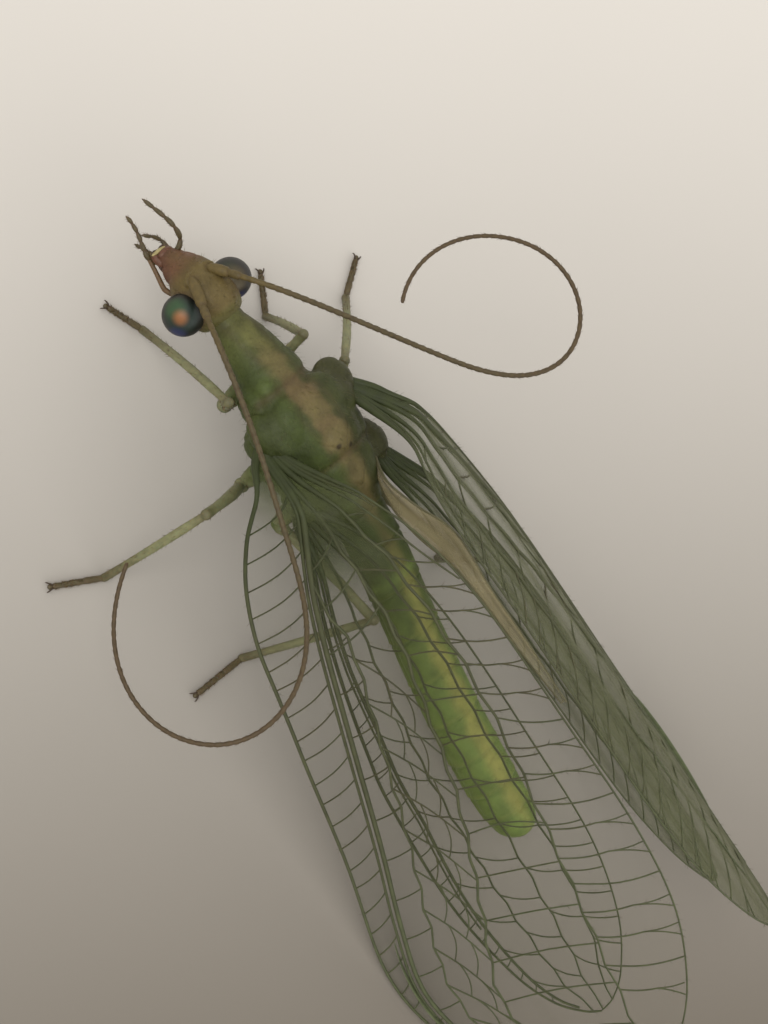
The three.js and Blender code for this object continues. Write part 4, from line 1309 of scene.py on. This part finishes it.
def hindwing_plan():
    plan = WingPlan(HINDWING_HIND, HINDWING_FRONT, HINDWING_LIFT, 0, (0.7, 0.97), 0.35)
    plan.add(plan.front, 0.034, 0.018)
    plan.add(plan.hind, 0.018, 0.013)
    y = np.linspace(0.72, 10.1, 90)
    radius_line = np.stack([y, plan.front_at(y) - np.interp(y, *HINDWING_SPACE.T)], 1)
    radius = plan.add(radius_line, 0.036, 0.022)
    plan.add((radius_line + [0, 0.07])[y < 8.2], 0.02, 0.016)
    plan.rungs(radius, plan.front, np.arange(3.4, 9.9, 0.3), 0.12, 0.011)
    upper = radius
    y = np.linspace(0.74, 10.1, 90)
    lines = []
    for share, tip, turns, end in HINDWING_LINES:
        stops = np.linspace(2.6, 10.0, turns)
        across = share + (tip - share) * ramp(y, 2, 8)
        line = np.stack([y, plan.hind_at(y) + across * (plan.front_at(y) - plan.hind_at(y))], 1)
        lines.append((plan.chain(line, 2.5, stops, 0.026, end, 0.024, 0.014), stops))
    for line, stops in lines:
        for start in stops[2:-1:2]:
            plan.cross(at_y(line, start), at_y(upper, max(start - 0.35, 1.5)), 0.012, 0.08)
        upper = line
    for start in stops[1:-1]:
        plan.cross(at_y(upper, start), at_y(plan.hind, min(start + 0.3, 10.2)), 0.0115, -0.05)
    return plan


def wing_lift(plan, flat):
    """The wing's lift above its roof plane. It sinks to the joint and, in the forewing, to the front edge."""
    settled = plan.lift * (1 - plan.settles * ramp(flat[..., 1], 2, 2.5))
    return settled - plan.root_sink * (1 - smooth(plan.from_joint(flat) / ROOT_REACH))


def on_wing(plan, flat, side, above=0.0):
    """Where places of the plan are in space, or a little above it."""
    return roof_point(flat[..., 0], flat[..., 1], wing_lift(plan, flat) + above, side)


def between(first, second, columns):
    """A grid of points from one edge to the other, and each column's share of the way."""
    v = np.linspace(0, 1, columns)[None, :, None]
    return first[:, None] * (1 - v) + second[:, None] * v, v


def sheet_faces(rows, columns, turned):
    """The faces of a thin closed sheet of two grids of points, one above the other."""
    count = rows * columns
    at = np.arange(count).reshape(rows, columns)
    top = np.stack([at[:-1, :-1], at[1:, :-1], at[1:, 1:], at[:-1, 1:]], axis=-1).reshape(-1, 4)
    rim = np.concatenate([at[:, 0], at[-1, 1:], at[-2::-1, -1], at[0, -2:0:-1]])
    following = np.roll(rim, -1)
    edge = np.stack([following, rim, rim + count, following + count], axis=1)
    quads = np.vstack([top, top[:, ::-1] + count, edge])
    return quads[:, ::-1] if turned else quads


def membrane(plan, side):
    """A thin closed film with gentle pleats between its margins, and how much each point hides."""
    inner, outer = along(plan.hind, FILM_ROWS), along(plan.front, FILM_ROWS)
    flat, v = between(inner, outer, FILM_COLUMNS)
    fade = smooth(np.linspace(0, 1, FILM_ROWS)[:, None] * 8)
    pleat = 0.02 * np.sin(flat[..., 1] * 9 + 0.6 * flat[..., 0]) * np.sin(np.pi * v[..., 0]) * fade
    grids = [on_wing(plan, flat, side, pleat - half) for half in HALF_FILMS]
    # Leathery at the root, clear beyond it
    cover = np.tile(0.8 * (1 - ramp(plan.from_joint(flat), 0.3, ROOT_REACH * 1.2)).ravel(), 2)
    shape = Shape()
    shape.add(np.stack(grids), sheet_faces(FILM_ROWS, FILM_COLUMNS, side > 0),
              colour=blend(MEMBRANE_GREEN, DARK_GREEN * 1.3, cover))
    return shape, cover


# The edges of the right wings' hind margins, folded up beside the body and along the crest
FOLD_EDGES = (
    [(-0.52, 0.92, 2.35), (-0.3, 1.3, 2.5), (-0.13, 1.68, 2.75), (-0.04, 2.14, 3.1), (-0.02, 2.57, 3.45),
     (0.03, 3.0, 3.68), (0.03, 4.15, 3.78), (-0.02, 5.28, 3.85)],
    [(-0.58, 0.86, 2.4), (-0.42, 1.05, 2.58), (-0.32, 1.26, 2.76), (-0.3, 1.67, 3.1), (-0.32, 2.08, 3.5),
     (-0.26, 2.44, 3.72), (-0.14, 3.22, 3.83), (-0.12, 4.06, 3.88), (-0.08, 5.3, 3.9)],
)


def crest_fold():
    """The folded hind margins of the right wings as one brownish strip."""
    lower, upper = (along(through(edge), FOLD_ROWS) for edge in FOLD_EDGES)
    places, v = between(lower, upper, FOLD_COLUMNS)
    facing = unit(np.cross(np.gradient(places, axis=0), np.gradient(places, axis=1)))
    crease = 0.025 * np.sin(v * 3 * np.pi)
    grids = [places + facing * (crease + half) for half in HALF_FILMS]
    shape = Shape()
    shape.add(np.stack(grids), sheet_faces(FOLD_ROWS, FOLD_COLUMNS, True), colour=FOLD_TAN)
    ends = np.minimum(np.linspace(1, 0, FOLD_ROWS) * 3, 1)
    cover = np.tile(np.repeat(0.6 * ends, FOLD_COLUMNS), 2)
    place_piece("crest_fold", shape, "membrane", cover=cover)
    edges = Shape()
    for edge in (lower, upper):
        widths = np.linspace(0.02, 0.012, FOLD_ROWS)
        tube(edges, edge, widths, 7, colour=blend(FOLD_TAN * 0.6, VEIN_GREEN, 0.4))
    place_piece("crest_fold_edges", edges, "vein")


def vein_colour(plan, y, length):
    """Dark at the wing's root, olive further out and greener towards the tip."""
    shade = blend(VEIN_GREEN, BROWN, np.full(len(y), 0.2 if length > 2 else 0.15 + 0.3 * random.random()))
    shade = blend(shade, VEIN_GREEN * 1.25, 0.6 * ramp(y, 5, 3))
    return blend(shade, DARK_GREEN * 0.75, smooth((plan.joint[0] + 2.4 - y) / 2.0) * 0.85)


def vein_mesh(plan, side):
    shape, fringe = Shape(), Shape()
    for path, root_radius, tip_radius in plan.veins:
        length = np.linalg.norm(np.diff(path, axis=0), axis=1).sum()
        count = int(np.clip(length / 0.09, 5, 150))
        flat = along(path, count)
        points = on_wing(plan, flat, side)
        stout = ROOT_STOUTNESS * (1 - smooth(plan.from_joint(flat) / ROOT_REACH))
        radii = np.linspace(root_radius, tip_radius, count) + stout
        tube(shape, points, radii, 7, colour=vein_colour(plan, flat[:, 0], length))
        at = random.integers(0, count, int(length / 0.13))
        hairs(fringe, *bristles(points, radii, at, 0.7, 1, 0.7), random.uniform(0.06, 0.11, len(at)),
              SETA_WIDTHS["wing"], colour=blend(VEIN_GREEN, BROWN, 0.5),
              places=UNWRAP_START + UNWRAP_SPREAD * flat[at] / (WING_LENGTH, ROOF_WIDTH))
    return shape, fringe


def wing(name, word, side, plan):
    film, cover = membrane(plan, side)
    place_piece(f"{name}_{word}_film", film, "membrane", (f"{name}_{word}",), cover=cover)
    veins, fringe = vein_mesh(plan, side)
    place_piece(f"{name}_{word}_veins", veins, "vein")
    place_piece(f"{name}_{word}_hairs", fringe, "hair", unwrap=True)


def pterostigma(plan, word, side):
    """The greenish thickened cell near the tip of the forewing's front edge."""
    y = np.linspace(SPOT_START, SPOT_END, 34)
    width = np.sin(np.pi * (y - SPOT_START) / (SPOT_END - SPOT_START)) ** 0.6
    w = plan.front_at(y) - np.interp(y, [SPOT_START, 9.6, SPOT_END], [0.3, 0.13, 0.1])
    shape = Shape()
    tube(shape, on_wing(plan, np.stack([y, w], 1), side), 0.02 + 0.09 * width, 10, flatten=0.16,
         hint=(-0.75 * side, 0, 0.66), colour=VEIN_GREEN * 1.6)
    place_piece(f"wing_spot_{word}", shape, "vein")


body_hairs(*body_skin())
head_hairs(*head_skin())
mouthparts()
for palp_name, palp_form in PALPS.items():
    palp(palp_name, *palp_form)
for side_word, side_sign in SIDES:
    eye(side_word, side_sign)
    feeler(side_word, side_sign)
    for leg_pair in LEGS:
        leg(leg_pair, side_word, side_sign)
hind_plan = hindwing_plan()
for side_word, side_sign in SIDES:
    fore_plan = forewing_plan(side_word)
    wing("forewing", side_word, side_sign, fore_plan)
    wing("hindwing", side_word, side_sign, hind_plan)
    pterostigma(fore_plan, side_word, side_sign)
crest_fold()


# Floor, light and camera
def stage_floor():
    mesh = bpy.data.meshes.new("floor")
    corners = [(x * FLOOR_HALF_SIZE, y * FLOOR_HALF_SIZE, 0) for x, y in ((-1, -1), (1, -1), (1, 1), (-1, 1))]
    mesh.from_pydata(corners, [], [(0, 1, 2, 3)])
    mesh.materials.append(floor_material())
    floor = bpy.data.objects.new("floor", mesh)
    bpy.context.scene.collection.objects.link(floor)


def area_light(name, place, size, power):
    data = bpy.data.lights.new(name, "AREA")
    data.size = size
    data.energy = power
    data.color = LIGHT_COLOUR
    light = bpy.data.objects.new(name, data)
    light.location = place
    light.rotation_euler = (-Vector(place)).to_track_quat("-Z", "Y").to_euler()
    light.visible_camera = False
    bpy.context.scene.collection.objects.link(light)


# Lights by name, place, size and power, in metres and watts
LIGHTS = (("key", (0.08, -0.05, 0.16), 0.12, 0.13), ("back", (0.02, 0.16, 0.09), 0.1, 0.03))
LIGHT_COLOUR = (1.0, 0.98, 0.95)
SKY_COLOUR = (0.93, 0.92, 0.9)
SKY_STRENGTH = 0.88
CAMERA_RIGHT = (-0.66, 0.55, 0.511)
CAMERA_DOWN = (0.597, 0.798, -0.088)
CAMERA_AHEAD = (-0.456, 0.247, -0.855)
FOCAL_PIXELS = 2014.8
PHOTO_HEIGHT = 1024


def place_camera():
    data = bpy.data.cameras.new("camera")
    data.sensor_width = 36.0
    data.lens = FOCAL_PIXELS / PHOTO_HEIGHT * data.sensor_width
    data.clip_start = 0.001
    data.clip_end = 20.0
    camera = bpy.data.objects.new("camera", data)
    axes = Matrix([CAMERA_RIGHT, [-v for v in CAMERA_DOWN], [-v for v in CAMERA_AHEAD]]).transposed()
    place = Vector((np.array(CAMERA_PLACE) + SHIFT) * MM)
    camera.matrix_world = Matrix.Translation(place) @ axes.to_4x4()
    bpy.context.scene.collection.objects.link(camera)
    bpy.context.scene.camera = camera


def light_the_scene():
    for light in LIGHTS:
        area_light(*light)
    world = bpy.data.worlds.new("studio")
    world.use_nodes = True
    background = world.node_tree.nodes["Background"]
    background.inputs["Color"].default_value = (*SKY_COLOUR, 1)
    background.inputs["Strength"].default_value = SKY_STRENGTH
    scene = bpy.context.scene
    scene.world = world
    scene.view_settings.view_transform = "Standard"
    scene.cycles.transparent_max_bounces = 24


stage_floor()
place_camera()
light_the_scene()

bpy.context.view_layer.update()
